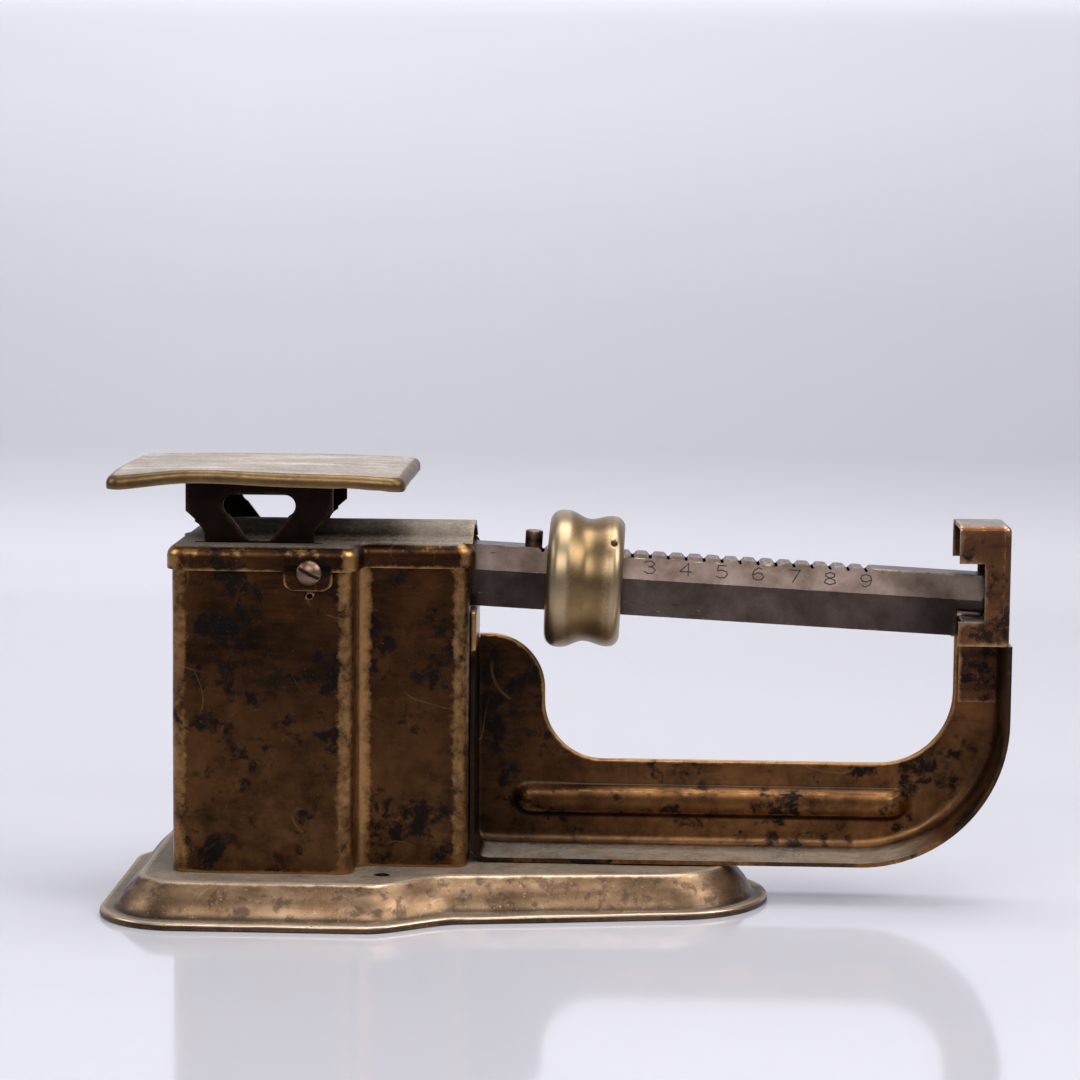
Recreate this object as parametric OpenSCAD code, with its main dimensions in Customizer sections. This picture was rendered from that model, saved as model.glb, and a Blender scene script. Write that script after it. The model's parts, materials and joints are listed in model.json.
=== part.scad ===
// Desk postal scale with a single notched beam: pressed base and housing, lift-off cover,
// flat pan on a knife-edge pivot, sliding poise, and a support arm with a beam guard.
// The frame's origin is the centre of the footprint on the table; +X runs along the beam
// towards the guard, +Z is up.  Lengths are millimetres, angles are degrees.

/* [Overall] */
// Length from the left lip of the base to the outside of the arm
overall_l = 207; // [200:1:215]
// Thickness of the pressed sheet in the base, housing, cover and arm
sheet = 0.9; // [0.7:0.1:1.1]

/* [Base] */
// Length of the base plate
base_l = 152.6; // [148:0.2:156]
// Half width of the wide end of the base
base_half_w = 43; // [41:0.5:45]
// Height of the raised plateau that the housing stands on
plateau_z = 9; // [8:0.5:10]
// Radius of the two wide corners of the base
base_corner_r = 18; // [10:1:20]
// Radius of the round narrow end of the base
nose_r = 24.6; // [23:0.1:26]
// Diameter of the two screw-down holes in the plateau
fixing_hole_d = 3.6; // [3:0.1:4]
// Distance between the two screw-down holes, across the base
fixing_pitch = 46; // [44:1:48]

/* [Housing and cover] */
// Distance from the left lip of the base to the housing
housing_gap = 17.5; // [16:0.5:19]
// Length of the wide part of the housing
wide_l = 41; // [39:0.5:43]
// Length of the wide and narrow parts together
housing_l = 66.2; // [64:0.2:68]
// Half width of the wide part of the housing
wide_half_w = 24; // [23:0.5:25]
// Half width of the narrow part of the housing
narrow_half_w = 14.2; // [14:0.1:15]
// Radius of the upright corners of the housing
housing_corner_r = 3.6; // [2:0.2:4]
// Height of the flat top of the cover
cover_z = 83.2; // [82:0.2:84]
// Height of the top of the raised hood over the beam
hood_z = 87.2; // [86.4:0.2:88]

/* [Pan] */
// Length of the pan
pan_l = 66.8; // [60:0.2:72]
// Width of the pan
pan_w = 52.4; // [48:0.2:56]
// Height of the top of the pan
pan_z = 100.2; // [99.6:0.2:102]
// Depth of the down-turned rim of the pan
pan_rim_h = 3; // [2:0.2:4]
// Width of the bracket under the pan
bracket_w = 33.2; // [30:0.2:36]
// Half distance over the outside of the two bracket legs
bracket_half_y = 16.9; // [16.5:0.1:17.2]

/* [Beam] */
// Height of the fulcrum knife edge
fulcrum_z = 76.4; // [75.6:0.2:77]
// Distance from the fulcrum to the load knife edge
load_arm = 20; // [19:0.5:21]
// Angle of the beam below level when its tip rests on the lower stop
droop = 2.8; // [2:0.1:3]
// Height of the beam's section
beam_h = 14.3; // [13:0.1:15]
// Distance between the notches for two whole units
notch_pitch = 8.22; // [8:0.01:8.4]
// Number of whole units on the beam
unit_count = 9; // [6:1:9]

/* [Poise] */
// Largest radius of the poise
poise_r = 15.8; // [14:0.1:16]
// Length of the poise along the beam
poise_l = 17.2; // [15:0.2:18]
// Distance from the fulcrum to the middle of the poise at zero
poise_u = 53.1; // [52:0.1:55]

/* [Arm and guard] */
// Half width of the support arm
arm_half_w = 8.6; // [8:0.1:9]
// Radius of the outside bend of the arm
arm_bend_r = 34; // [30:1:36]
// Height of the top of the beam guard
guard_z = 88.3; // [88:0.1:89]

/* [Hidden] */

$fn = 64;
hull_fn = 32;
eps = 0.5;

// Places along X, in the part's frame
base_x0 = -overall_l / 2;
nose_x = base_x0 + base_l - nose_r;
waist_x = base_x0 + 66;
neck_x = base_x0 + 81;
neck_half_w = 33;
housing_x0 = base_x0 + housing_gap;
step_x = housing_x0 + wide_l;
housing_x1 = housing_x0 + housing_l;
fulcrum_x = base_x0 + 56.5;
pan_x = fulcrum_x - load_arm;
fixing_x = base_x0 + 65;
arm_x0 = housing_x1;
arm_x1 = overall_l / 2;

// Base: the slope runs from the flat lip up to the plateau
lip_w = 2.6;
slope_w = 9.4;
slope_corner_r = 4.5;

// Housing and cover
housing_top_z = 80.4;
skirt_z = 77.7;
cover_lap = 1.2;
cover_round = 2.4;
ear_w = 10.9;
ear_x = base_x0 + 48.4;
ear_z = 73.3;
screw_z = 77.5;
hood_half_w = 11;
hood_r = (hood_half_w * hood_half_w + pow(hood_z - cover_z, 2)) / (2 * (hood_z - cover_z));
hood_x0 = housing_x0 + 12.5;
beam_gap_half_w = 8;
sill_z = 67;

// Bracket and check link
leg_t = 0.9;
leg_mid_y = bracket_half_y - leg_t / 2;
strap_half_w = 4;
check_drop = 50;
rod_d = 2.5;
knife_x = fulcrum_x - load_arm * cos(droop);
knife_z = fulcrum_z + load_arm * sin(droop);

// Beam section: half widths at the top, at the crease and at the bottom
beam_top_w = 4;
beam_crease_w = 6;
beam_bottom_w = 3;
beam_crease_h = 5.6;
beam_t = 0.7;
beam_u0 = -14;
beam_u1 = 138.2;
tongue_u1 = 144;
tongue_low_w = -0.7;
tail_u0 = -26;
weight_t = 8;
weight_half_w = 21.5;
screw_w = -2;
pin_u = 40.9;
notch_u0 = 43.1;

// Guard
guard_x0 = arm_x1 - 12.6;
guard_x1 = arm_x1 - 0.9;
notch_x = guard_x0 + 5.8;
notch_z0 = 66.3;
notch_z1 = 79.6;
guard_bottom_z = 60.8;

module mirror_y() {
    children();
    mirror([0, 1, 0]) children();
}

// Turns a shape drawn in the beam's own axes (u along it, w up) to its resting slope
module on_beam() {
    translate([fulcrum_x, 0, fulcrum_z]) rotate([0, droop, 0]) children();
}

// A flat outline drawn in X and Z, given a thickness between two Y values
module xz_plate(y0, y1) {
    translate([0, y1, 0]) rotate([90, 0, 0]) linear_extrude(y1 - y0) children();
}

module round_rect(x0, x1, half_y, r) {
    translate([x0 + r, -half_y]) square([x1 - x0 - 2 * r, 2 * half_y]);
    translate([x0, -half_y + r]) square([x1 - x0, 2 * half_y - 2 * r]);
    for (x = [x0 + r, x1 - r], y = [-half_y + r, half_y - r])
        translate([x, y]) circle(r);
}

// ---------------------------------------------------------------- base

module base_wide_outline(inset, r) {
    round_rect(base_x0 + inset, waist_x + 8 - inset, base_half_w - inset, r);
}

module base_nose_outline(inset) {
    translate([nose_x, 0]) circle(nose_r - inset);
    polygon([[waist_x, neck_half_w + 4 - inset], [neck_x, neck_half_w - inset],
        [nose_x + 3, nose_r - 0.2 - inset], [nose_x + 3, -nose_r + 0.2 + inset],
        [neck_x, -neck_half_w + inset], [waist_x, -neck_half_w - 4 + inset]]);
}

module base_waist_outline(inset) {
    polygon([[waist_x - 6, base_half_w - inset], [waist_x, base_half_w - inset],
        [neck_x, neck_half_w - inset], [neck_x, -neck_half_w + inset],
        [waist_x, -base_half_w + inset], [waist_x - 6, -base_half_w + inset]]);
}

module base_outline(inset, r) {
    difference() {
        union() {
            base_wide_outline(inset, r);
            base_nose_outline(inset);
        }
        mirror_y() polygon([[waist_x, base_half_w - inset], [waist_x + 15, base_half_w - inset],
            [waist_x + 15, neck_half_w - inset], [neck_x, neck_half_w - inset]]);
    }
}

// The sloping body of the base, between the lip and the plateau, at one skin depth
module base_hill(skin) {
    top_z = plateau_z - skin;
    plateau_inset = lip_w + slope_w - 2;
    for (part = [0, 1, 2]) hull() {
        translate([0, 0, -eps]) linear_extrude(sheet + eps)
            hill_outline(part, lip_w + skin, base_corner_r - lip_w - skin, $fn = hull_fn);
        translate([0, 0, top_z - 0.2]) linear_extrude(0.2)
            hill_outline(part, plateau_inset + skin, slope_corner_r, $fn = hull_fn);
    }
}

module hill_outline(part, inset, r) {
    if (part == 0) round_rect(base_x0 + inset, waist_x + 4 - inset / 2, base_half_w - inset, r);
    if (part == 1) base_waist_outline(inset);
    if (part == 2) base_nose_outline(inset);
}

module base_plate() {
    color("darkgoldenrod") difference() {
        union() {
            linear_extrude(sheet) base_outline(0, base_corner_r);
            difference() {
                base_hill(0);
                translate([0, 0, -10]) linear_extrude(10) square(2 * overall_l, center = true);
            }
        }
        base_hill(sheet);
        for (y = [-1, 1]) translate([fixing_x, y * fixing_pitch / 2, plateau_z - 3])
            cylinder(d = fixing_hole_d, h = 6);
        for (p = housing_screw_places()) translate([p[0], p[1], plateau_z - 3])
            cylinder(d = 3.1, h = 6);
        for (p = stand_rivet_places()) translate([p[0], p[1], plateau_z - 3])
            cylinder(d = 2.4, h = 6);
    }
}

// ---------------------------------------------------------------- housing

function housing_screw_places() = [for (x = [housing_x0 + 5, step_x - 6], y = [-18.5, 18.5]) [x, y]];
function stand_rivet_places() = [for (x = [fulcrum_x - 7, fulcrum_x + 7], y = [-6, 6]) [x, y]];

module housing_outline(grow) {
    round_rect(housing_x0 - grow, step_x + grow, wide_half_w + grow, housing_corner_r + grow);
    round_rect(step_x - 12, housing_x1 + grow, narrow_half_w + grow, housing_corner_r + grow);
    mirror_y() difference() {
        translate([step_x + grow, narrow_half_w + grow]) square([2.6, 3]);
        translate([step_x + grow + 2.6, narrow_half_w + grow + 3]) circle(2.6);
    }
}

module housing() {
    color("sienna") difference() {
        union() {
            translate([0, 0, plateau_z]) linear_extrude(housing_top_z - plateau_z) difference() {
                housing_outline(0);
                housing_outline(-sheet);
            }
            // lugs that take the screws from under the base
            for (p = housing_screw_places())
                translate([p[0] - 5, p[1] > 0 ? p[1] - 4 : -wide_half_w + 0.4, plateau_z])
                    cube([10, wide_half_w - 0.4 - abs(p[1]) + 4, sheet]);
        }
        for (p = housing_screw_places()) translate([p[0], p[1], plateau_z - 1])
            cylinder(d = 2.5, h = 4);
        // way out for the beam
        translate([housing_x1 - 6, -beam_gap_half_w, sill_z])
            cube([12, 2 * beam_gap_half_w, housing_top_z]);
        mirror_y() translate([ear_x + 0.3, wide_half_w - 3, screw_z]) rotate([-90, 0, 0])
            cylinder(d = 3.2, h = 6);
        translate([ear_x + 0.6, -wide_half_w - 2, 72.1]) rotate([-90, 0, 0]) cylinder(d = 1.3, h = 4);
        arm_rivet_bores();
    }
}

module housing_screws() {
    color("dimgray") for (p = housing_screw_places()) translate([p[0], p[1], plateau_z - sheet]) {
        translate([0, 0, -1.5]) cylinder(d = 5.4, h = 1.5);
        cylinder(d = 2.5, h = 3.4);
    }
}

// ---------------------------------------------------------------- cover

module cover_block(grow, top_z, bottom_z) {
    for (wide = [true, false]) hull() {
        translate([0, 0, bottom_z]) linear_extrude(top_z - cover_round - bottom_z)
            cover_part(wide, grow);
        translate([0, 0, top_z - 0.9]) linear_extrude(0.3) cover_part(wide, grow - 0.75);
        translate([0, 0, top_z - 0.1]) linear_extrude(0.1) cover_part(wide, grow - cover_round);
    }
}

module cover_part(wide, grow) {
    r = max(0.8, housing_corner_r + grow);
    if (wide) round_rect(housing_x0 - grow, step_x + grow, wide_half_w + grow, r, $fn = hull_fn);
    else round_rect(step_x - 12, housing_x1 + grow, narrow_half_w + grow, r, $fn = hull_fn);
}

// The raised hood: a long arch with a domed left end, above one height
module hood(skin, floor_z, x1) {
    centre_z = hood_z - hood_r;
    intersection() {
        union() {
            translate([hood_x0, 0, centre_z]) sphere(hood_r - skin);
            translate([hood_x0, 0, centre_z]) rotate([0, 90, 0]) cylinder(r = hood_r - skin, h = x1 - hood_x0);
        }
        translate([hood_x0 - 20, -20, floor_z]) cube([x1 - hood_x0 + 20, 40, 20]);
    }
}

module ear_outline(r) {
    translate([ear_x - ear_w / 2, ear_z + r]) square([ear_w, cover_z - ear_z - r - 3]);
    translate([ear_x - ear_w / 2 + r, ear_z]) square([ear_w - 2 * r, r]);
    for (s = [-1, 1]) translate([ear_x + s * (ear_w / 2 - r), ear_z + r]) circle(r);
}

module top_cover() {
    color("darkolivegreen") difference() {
        union() {
            cover_block(cover_lap, cover_z, skirt_z);
            translate([0, 0, skirt_z]) linear_extrude(cover_z - cover_round - skirt_z)
                housing_outline(cover_lap);
            hood(0, cover_z - 0.5, housing_x1 + cover_lap - 0.6);
            mirror_y() xz_plate(wide_half_w + cover_lap - sheet, wide_half_w + cover_lap)
                ear_outline(2.4);
        }
        cover_block(cover_lap - sheet, cover_z - sheet, skirt_z - 2);
        translate([0, 0, skirt_z - 2]) linear_extrude(housing_top_z - skirt_z + 2.1)
            housing_outline(cover_lap - sheet);
        hood(sheet, cover_z - sheet - 0.6, housing_x1 + 4);
        translate([housing_x1 - 6, -beam_gap_half_w, skirt_z - 2])
            cube([12, 2 * beam_gap_half_w, cover_z - sheet - skirt_z + 2.2]);
        mirror_y() translate([base_x0 + 22, leg_mid_y - 1.1, skirt_z]) cube([28.9, 2.2, 8]);
        mirror_y() translate([ear_x + 0.3, wide_half_w, screw_z]) rotate([-90, 0, 0])
            cylinder(d = 3.1, h = 4);
    }
}

module cover_screws() {
    head_y = wide_half_w + cover_lap;
    color("dimgray") mirror_y() translate([ear_x + 0.3, head_y, screw_z]) difference() {
        rotate([-90, 0, 0]) {
            cylinder(d = 5.6, h = 0.7);
            translate([0, 0, 0.7]) intersection() {
                translate([0, 0, -2.2]) sphere(3.56);
                cylinder(d = 5.6, h = 3);
            }
            translate([0, 0, -5]) cylinder(d = 2.8, h = 5.2);
        }
        rotate([0, 27, 0]) translate([-4, 0.9, -0.4]) cube([8, 3, 0.8]);
    }
}

module cover_nuts() {
    color("gray") mirror_y() translate([ear_x + 0.3, wide_half_w - sheet - 2, screw_z])
        rotate([-90, 0, 0]) difference() {
            translate([-3, -3, 0]) cube([6, 6, 2]);
            translate([0, 0, -1]) cylinder(d = 2.84, h = 4);
        }
}

// ---------------------------------------------------------------- pan and its bracket

module pan() {
    t = 0.8;
    r = 6.5;
    color("burlywood") translate([0, 0, pan_z - pan_rim_h]) difference() {
        linear_extrude(pan_rim_h)
            round_rect(pan_x - pan_l / 2, pan_x + pan_l / 2, pan_w / 2, r);
        translate([0, 0, -t]) linear_extrude(pan_rim_h)
            round_rect(pan_x - pan_l / 2 + t, pan_x + pan_l / 2 - t, pan_w / 2 - t, r - t);
    }
}

// One leg: a full-width head, a waist that passes the cover, and a strap down to the rod
module leg_outline() {
    head_z = 90.2;
    waist_half = 12.3;
    top_z = pan_z - 0.8;
    difference() {
        union() {
            translate([-bracket_w / 2, head_z]) square([bracket_w, top_z - head_z]);
            translate([-waist_half, 78]) square([2 * waist_half, 14]);
            polygon([[-bracket_w / 2, head_z], [-14, 87.9], [14, 87.9], [bracket_w / 2, head_z]]);
            polygon([[-waist_half, 78], [-strap_half_w, 70], [strap_half_w, 70], [waist_half, 78]]);
            translate([-strap_half_w, knife_z - check_drop]) square([2 * strap_half_w, 46]);
            translate([0, knife_z - check_drop]) circle(strap_half_w);
            for (s = [-1, 1]) translate([s * (waist_half + 0.6), 86.9]) square(3.2, center = true);
        }
        for (s = [-1, 1]) translate([s * (waist_half + 4), 84.2]) circle(4);
        // window through the head
        for (s = [-1, 1]) translate([s * 5.8, 91.6]) circle(2.4);
        translate([-5.8, 91.6]) square([11.6, 2.4]);
        polygon([[-8.1, 91.2], [-2.4, 83.6], [2.4, 83.6], [8.1, 91.2], [5.8, 91.8], [-5.8, 91.8]]);
    }
}

module pan_bracket() {
    top_z = pan_z - 0.8;
    color("darkslategray") difference() {
        union() {
            translate([knife_x, 0, 0]) mirror_y()
                xz_plate(bracket_half_y - leg_t, bracket_half_y) leg_outline();
            translate([knife_x - bracket_w / 2, -bracket_half_y + 0.2, top_z - leg_t])
                cube([bracket_w, 2 * bracket_half_y - 0.4, leg_t]);
        }
        translate([knife_x, -20, knife_z - check_drop]) rotate([-90, 0, 0])
            cylinder(d = rod_d, h = 40);
    }
}

// Hardened blocks inside the legs; each hangs on the load knife by a V that opens downwards
module load_bearings() {
    color("silver") translate([knife_x, 0, knife_z]) mirror_y()
        xz_plate(12.9, bracket_half_y - leg_t) difference() {
            translate([-4, -1.6]) square([8, 5.8]);
            polygon([[0, 0.05], [-3.2, -1.9], [3.2, -1.9]]);
        }
}

module bracket_rod() {
    color("silver") translate([knife_x, -18, knife_z - check_drop]) rotate([-90, 0, 0])
        cylinder(d = rod_d, h = 36);
}

// ---------------------------------------------------------------- check link

module check_link() {
    eye_d = 5.2;
    color("slategray") translate([fulcrum_x, 0, fulcrum_z - check_drop]) rotate([0, droop, 0])
        difference() {
            union() {
                rotate([-90, 0, 0]) translate([0, 0, -11]) cylinder(d = eye_d, h = 22);
                translate([-load_arm, -15.4, 0]) rotate([-90, 0, 0]) cylinder(d = eye_d, h = 30.8);
                translate([-load_arm, -8, -0.8]) cube([load_arm, 16, 1.6]);
            }
            rotate([-90, 0, 0]) translate([0, 0, -20]) cylinder(d = rod_d + 0.1, h = 40);
            translate([-load_arm, -20, 0]) rotate([-90, 0, 0]) cylinder(d = rod_d + 0.5, h = 40);
        }
}

module post_rod() {
    color("silver") translate([fulcrum_x, -14.2 + 1.2, fulcrum_z - check_drop])
        rotate([-90, 0, 0]) cylinder(d = rod_d, h = 26);
}

// ---------------------------------------------------------------- fulcrum stand

module fulcrum_stand() {
    upright_t = 1.5;
    color("dimgray") difference() {
        union() {
            translate([fulcrum_x - 10, -13, plateau_z]) cube([20, 26, upright_t]);
            mirror_y() translate([fulcrum_x - 4.5, 13 - upright_t, plateau_z])
                cube([9, upright_t, 71.5 - plateau_z]);
        }
        for (p = stand_rivet_places()) translate([p[0], p[1], plateau_z - 1]) cylinder(d = 2.4, h = 4);
        translate([fulcrum_x, -20, fulcrum_z - check_drop]) rotate([-90, 0, 0])
            cylinder(d = rod_d, h = 40);
    }
}

module stand_rivets() {
    color("gray") for (p = stand_rivet_places()) translate([p[0], p[1], plateau_z - sheet]) {
        translate([0, 0, -1]) cylinder(d = 4.4, h = 1);
        cylinder(d = 2.4, h = sheet + 1.5);
        translate([0, 0, sheet + 1.5]) cylinder(d = 4.4, h = 0.8);
    }
}

module fulcrum_bearings() {
    color("silver") translate([fulcrum_x, 0, fulcrum_z]) mirror_y()
        xz_plate(9.4, 13) difference() {
            translate([-3.5, 71.5 - fulcrum_z]) square([7, 6.2]);
            polygon([[0, -0.05], [-3, 1.7], [3, 1.7]]);
        }
}

// ---------------------------------------------------------------- beam

// The folded section, seen along the beam: narrow flat top, crease, narrower bottom
module beam_section(skin) {
    top = beam_h / 2 - skin;
    bottom = -beam_h / 2 + skin;
    crease = beam_h / 2 - beam_crease_h;
    polygon([[-beam_top_w + skin / 2, top], [beam_top_w - skin / 2, top],
        [beam_crease_w - skin, crease], [beam_bottom_w - skin * 0.7, bottom],
        [-beam_bottom_w + skin * 0.7, bottom], [-beam_crease_w + skin, crease]]);
}

// Extrudes a section drawn in Y and w along the beam
module along_beam(u0, u1) {
    translate([u0, 0, 0]) rotate([90, 0, 90]) linear_extrude(u1 - u0) children();
}

module knife_outline(up) {
    scale([1, up ? 1 : -1]) polygon([[0, 0], [2, 3], [2, 5.4], [-2, 5.4], [-2, 3]]);
}

module beam() {
    top = beam_h / 2;
    color("rosybrown") on_beam() difference() {
        union() {
            difference() {
                along_beam(beam_u0, tongue_u1) beam_section(0);
                along_beam(beam_u0 - eps, tongue_u1 + eps) beam_section(beam_t);
                // past the end only the upper part goes on, as a tongue over the screw
                translate([beam_u1, -10, -20]) cube([20, 20, 20 + tongue_low_w]);
            }
            // tail channel with an end plate for the counterweight
            difference() {
                translate([tail_u0, -5.6, -6]) cube([beam_u0 - tail_u0 + 1, 11.2, 9.6]);
                translate([tail_u0 - 1, -4.6, -5]) cube([beam_u0 - tail_u0 + 3, 9.2, 12]);
            }
            translate([tail_u0, -5.6, -16]) cube([1.4, 11.2, 19.6]);
        }
        xz_plate(-10, 10) knife_outline(true);
        translate([-load_arm, 0, 0]) xz_plate(-10, 10) knife_outline(false);
        translate([pin_u, 0, 0]) cylinder(d = 4, h = 12);
        // V notches along both top edges, two to a unit
        for (i = [0 : 2 * unit_count]) translate([notch_u0 + i * notch_pitch / 2, -10, top])
            rotate([-90, 0, 0]) linear_extrude(20)
                polygon([[-0.75, -0.2], [0.75, -0.2], [0, 0.65]]);
        for (w = [-7.5, -12.5]) translate([tail_u0 - 1, 0, w]) rotate([0, 90, 0])
            cylinder(d = 2.5, h = 4);
    }
}

module fulcrum_knife() {
    color("lightsteelblue") on_beam() xz_plate(-13, 13) knife_outline(true);
}

module load_knife() {
    color("lightsteelblue") on_beam() translate([-load_arm, 0, 0])
        xz_plate(-15.8, 15.8) knife_outline(false);
}

module counterweight() {
    color("gray") on_beam() difference() {
        union() {
            translate([tail_u0 - weight_t, -15.2, -14]) cube([weight_t, 30.4, 10]);
            translate([tail_u0 - weight_t, -weight_half_w, -58])
                cube([weight_t, 2 * weight_half_w, 45]);
        }
        for (w = [-7.5, -12.5]) translate([tail_u0 - 20, 0, w]) rotate([0, 90, 0])
            cylinder(d = 2.7, h = 30);
    }
}

module counterweight_screws() {
    color("dimgray") on_beam() for (w = [-7.5, -12.5])
        translate([tail_u0 - weight_t, 0, w]) rotate([0, 90, 0]) {
            translate([0, 0, -1.1]) cylinder(d = 4.4, h = 1.1);
            cylinder(d = 2.5, h = weight_t + 1.4);
        }
}

module stop_pin() {
    color("dimgray") on_beam() translate([pin_u, 0, beam_h / 2 - beam_t])
        cylinder(d = 4, h = 3.6 + beam_t);
}

// Block inside the beam's end that holds the balance screw
module screw_block() {
    color("darkgoldenrod") on_beam() difference() {
        translate([beam_u1 - 9, -2.9, screw_w - 2.6]) cube([9, 5.8, 5.2]);
        translate([beam_u1 - 12, 0, screw_w]) rotate([0, 90, 0]) cylinder(d = 2.1, h = 20);
    }
}

module balance_screw() {
    color("peru") on_beam() translate([beam_u1 - 8, 0, screw_w]) rotate([0, 90, 0]) {
        cylinder(d = 2, h = 13.4);
        translate([0, 0, 13.4]) sphere(d = 2);
    }
}

// ---------------------------------------------------------------- poise

module poise() {
    half = poise_l / 2;
    left = poise_r;
    right = poise_r - 0.8;
    groove = poise_r - 1.6;
    round = 2.6;
    color("olive") on_beam() translate([poise_u, 0, 0]) difference() {
        rotate([0, 90, 0]) rotate_extrude($fn = 72) difference() {
            union() {
                translate([0, -half]) square([left - round, poise_l]);
                translate([0, -half + round]) square([left, 3.6]);
                translate([left - round, -half + round]) circle(round);
                translate([left - 2.4, -half + round + 3.4]) circle(2.4);
                translate([0, half - round - 1.6]) square([right, 1.6]);
                translate([right - round, half - round]) circle(round);
                translate([right - 2, half - round - 1.6]) circle(2);
                translate([0, -3]) square([groove, 8]);
            }
            translate([-40, -20]) square([40, 40]);
        }
        along_beam(-20, 20) beam_section(-0.35);
        // chamber for the spring
        rotate([0, 90, 0]) translate([0, 0, -5]) cylinder(r = 9.2, h = 10);
        translate([half - 2.3, 0, 0]) rotate([48, 0, 0]) translate([0, 0, right - 2.5])
            cylinder(d = 1.6, h = 5);
    }
}

// Leaf spring in the poise that presses it onto the notches
module poise_spring() {
    color("goldenrod") on_beam() translate([poise_u, 0, beam_h / 2]) {
        translate([-5, -1.6, 1.1]) cube([10, 3.2, 0.4]);
        translate([-0.9, -1.6, 0.4]) cube([1.8, 3.2, 0.8]);
    }
}

// ---------------------------------------------------------------- support arm

// The outer shape of the arm in X and Z, shrunk by a skin
module arm_outer(skin) {
    bend_x = arm_x1 - arm_bend_r;
    bend_z = plateau_z + arm_bend_r;
    translate([arm_x0 + skin, plateau_z + skin]) square([bend_x - arm_x0 - skin, 70]);
    translate([bend_x - 1, bend_z]) square([arm_bend_r + 1 - skin, 40]);
    translate([bend_x, bend_z]) circle(arm_bend_r - skin, $fn = 96);
}

// The window between the beam and the arm, grown by a skin
module arm_window(skin) {
    floor_z = 30.8;
    hump_r = 13 - skin;
    hump_x = base_x0 + 87.5;
    left_r = 13.5 + skin;
    right_r = 17 + skin;
    left_x = hump_x + 26.5;
    right_x = arm_x1 - 11.8 - 17;
    difference() {
        union() {
            translate([left_x - left_r, floor_z + 13.5]) square([right_x - left_x + left_r + right_r, 40]);
            translate([left_x, floor_z - skin]) square([right_x - left_x, 30]);
            translate([left_x, floor_z + 13.5]) circle(left_r);
            translate([right_x, floor_z + 17]) circle(right_r);
            translate([hump_x - 20, floor_z + 16.2]) square([40, 40]);
        }
        translate([hump_x, floor_z + 16.2]) circle(hump_r);
        translate([hump_x - 20, 0]) square([20, floor_z + 16.2 + hump_r]);
        translate([hump_x, 0]) square([hump_r, floor_z + 16.2]);
    }
}

module bead(r, ends) {
    bead_x0 = base_x0 + 96.3;
    bead_l = 86.4;
    translate([bead_x0, arm_half_w - sheet + 1.2, 21]) {
        rotate([0, 90, 0]) cylinder(r = r, h = bead_l);
        for (x = [0, bead_l]) translate([x, 0, 0]) sphere(r);
    }
}

module support_arm() {
    web_y = arm_half_w - sheet;
    rim_top_z = guard_bottom_z;
    color("saddlebrown") difference() {
        union() {
            xz_plate(web_y, arm_half_w) difference() {
                arm_outer(0);
                arm_window(0);
                translate([-200, rim_top_z]) square(400);
            }
            // flange towards the front, along the bottom and up the right side
            xz_plate(-arm_half_w, arm_half_w) difference() {
                arm_outer(0);
                arm_outer(sheet);
                translate([-200, rim_top_z]) square(400);
            }
            // upright flange against the housing
            translate([arm_x0, -arm_half_w, plateau_z]) cube([sheet, 2 * arm_half_w, sill_z - plateau_z]);
            // short lip around the window
            xz_plate(web_y - 2.6, web_y) difference() {
                intersection() {
                    arm_window(sheet);
                    arm_outer(0);
                }
                arm_window(0);
                translate([-200, rim_top_z]) square(400);
                translate([-200, 0]) square([200 + arm_x0 + 4, 100]);
            }
            intersection() {
                bead(3.3);
                translate([-200, -arm_half_w, 0]) cube([400, 2 * arm_half_w - 0.2, 60]);
            }
        }
        difference() {
            bead(2.4);
            translate([-200, -20, 0]) cube([400, 20, 60]);
        }
        arm_rivet_bores();
    }
}

module arm_rivet_bores() {
    for (z = [20, 52]) translate([arm_x0 - sheet, 0, z]) rotate([0, 90, 0])
        cylinder(d = 2.6, h = 2 * sheet);
}

module arm_rivets() {
    color("gray") for (z = [20, 52]) translate([arm_x0 - sheet, 0, z]) rotate([0, 90, 0]) {
        cylinder(d = 2.6, h = 2 * sheet);
        translate([0, 0, -0.9]) cylinder(d = 4.6, h = 0.9);
    }
}

// ---------------------------------------------------------------- beam guard

module guard_plate_outline() {
    difference() {
        translate([guard_x0, guard_bottom_z]) square([guard_x1 - guard_x0, guard_z - guard_bottom_z]);
        translate([guard_x0 - 1, notch_z0]) square([notch_x - guard_x0 + 1, notch_z1 - notch_z0]);
    }
}

module beam_guard() {
    half = arm_half_w - 0.05;
    tab_half = arm_half_w - sheet;
    color("peru") {
        mirror_y() xz_plate(half - sheet, half) guard_plate_outline();
        translate([guard_x0, -half, guard_z - sheet]) cube([guard_x1 - guard_x0, 2 * half, sheet]);
        translate([guard_x1 - sheet, -half, guard_bottom_z]) cube([sheet, 2 * half, guard_z - guard_bottom_z]);
        // shelf that the end of the balance screw comes down on
        translate([guard_x0 + 1.5, -half + sheet / 2, notch_z0 - sheet])
            cube([guard_x1 - guard_x0 - 1.5 - sheet / 2, 2 * half - sheet, sheet]);
        // tab that lies inside the channel of the arm
        translate([guard_x0 + 1.8, tab_half - sheet, 45.6])
            cube([guard_x1 - guard_x0 - 1.8, sheet, guard_bottom_z - 45.6 + 1]);
        translate([guard_x0 + 1.8, half - 2 * sheet, guard_bottom_z])
            cube([guard_x1 - guard_x0 - 1.8, 1.5 * sheet, 2]);
    }
}

base_plate();
housing();
housing_screws();
top_cover();
cover_screws();
cover_nuts();
pan();
pan_bracket();
load_bearings();
bracket_rod();
check_link();
post_rod();
fulcrum_stand();
stand_rivets();
fulcrum_bearings();
beam();
fulcrum_knife();
load_knife();
counterweight();
counterweight_screws();
stop_pin();
screw_block();
balance_screw();
poise();
poise_spring();
support_arm();
arm_rivets();
beam_guard();
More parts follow.
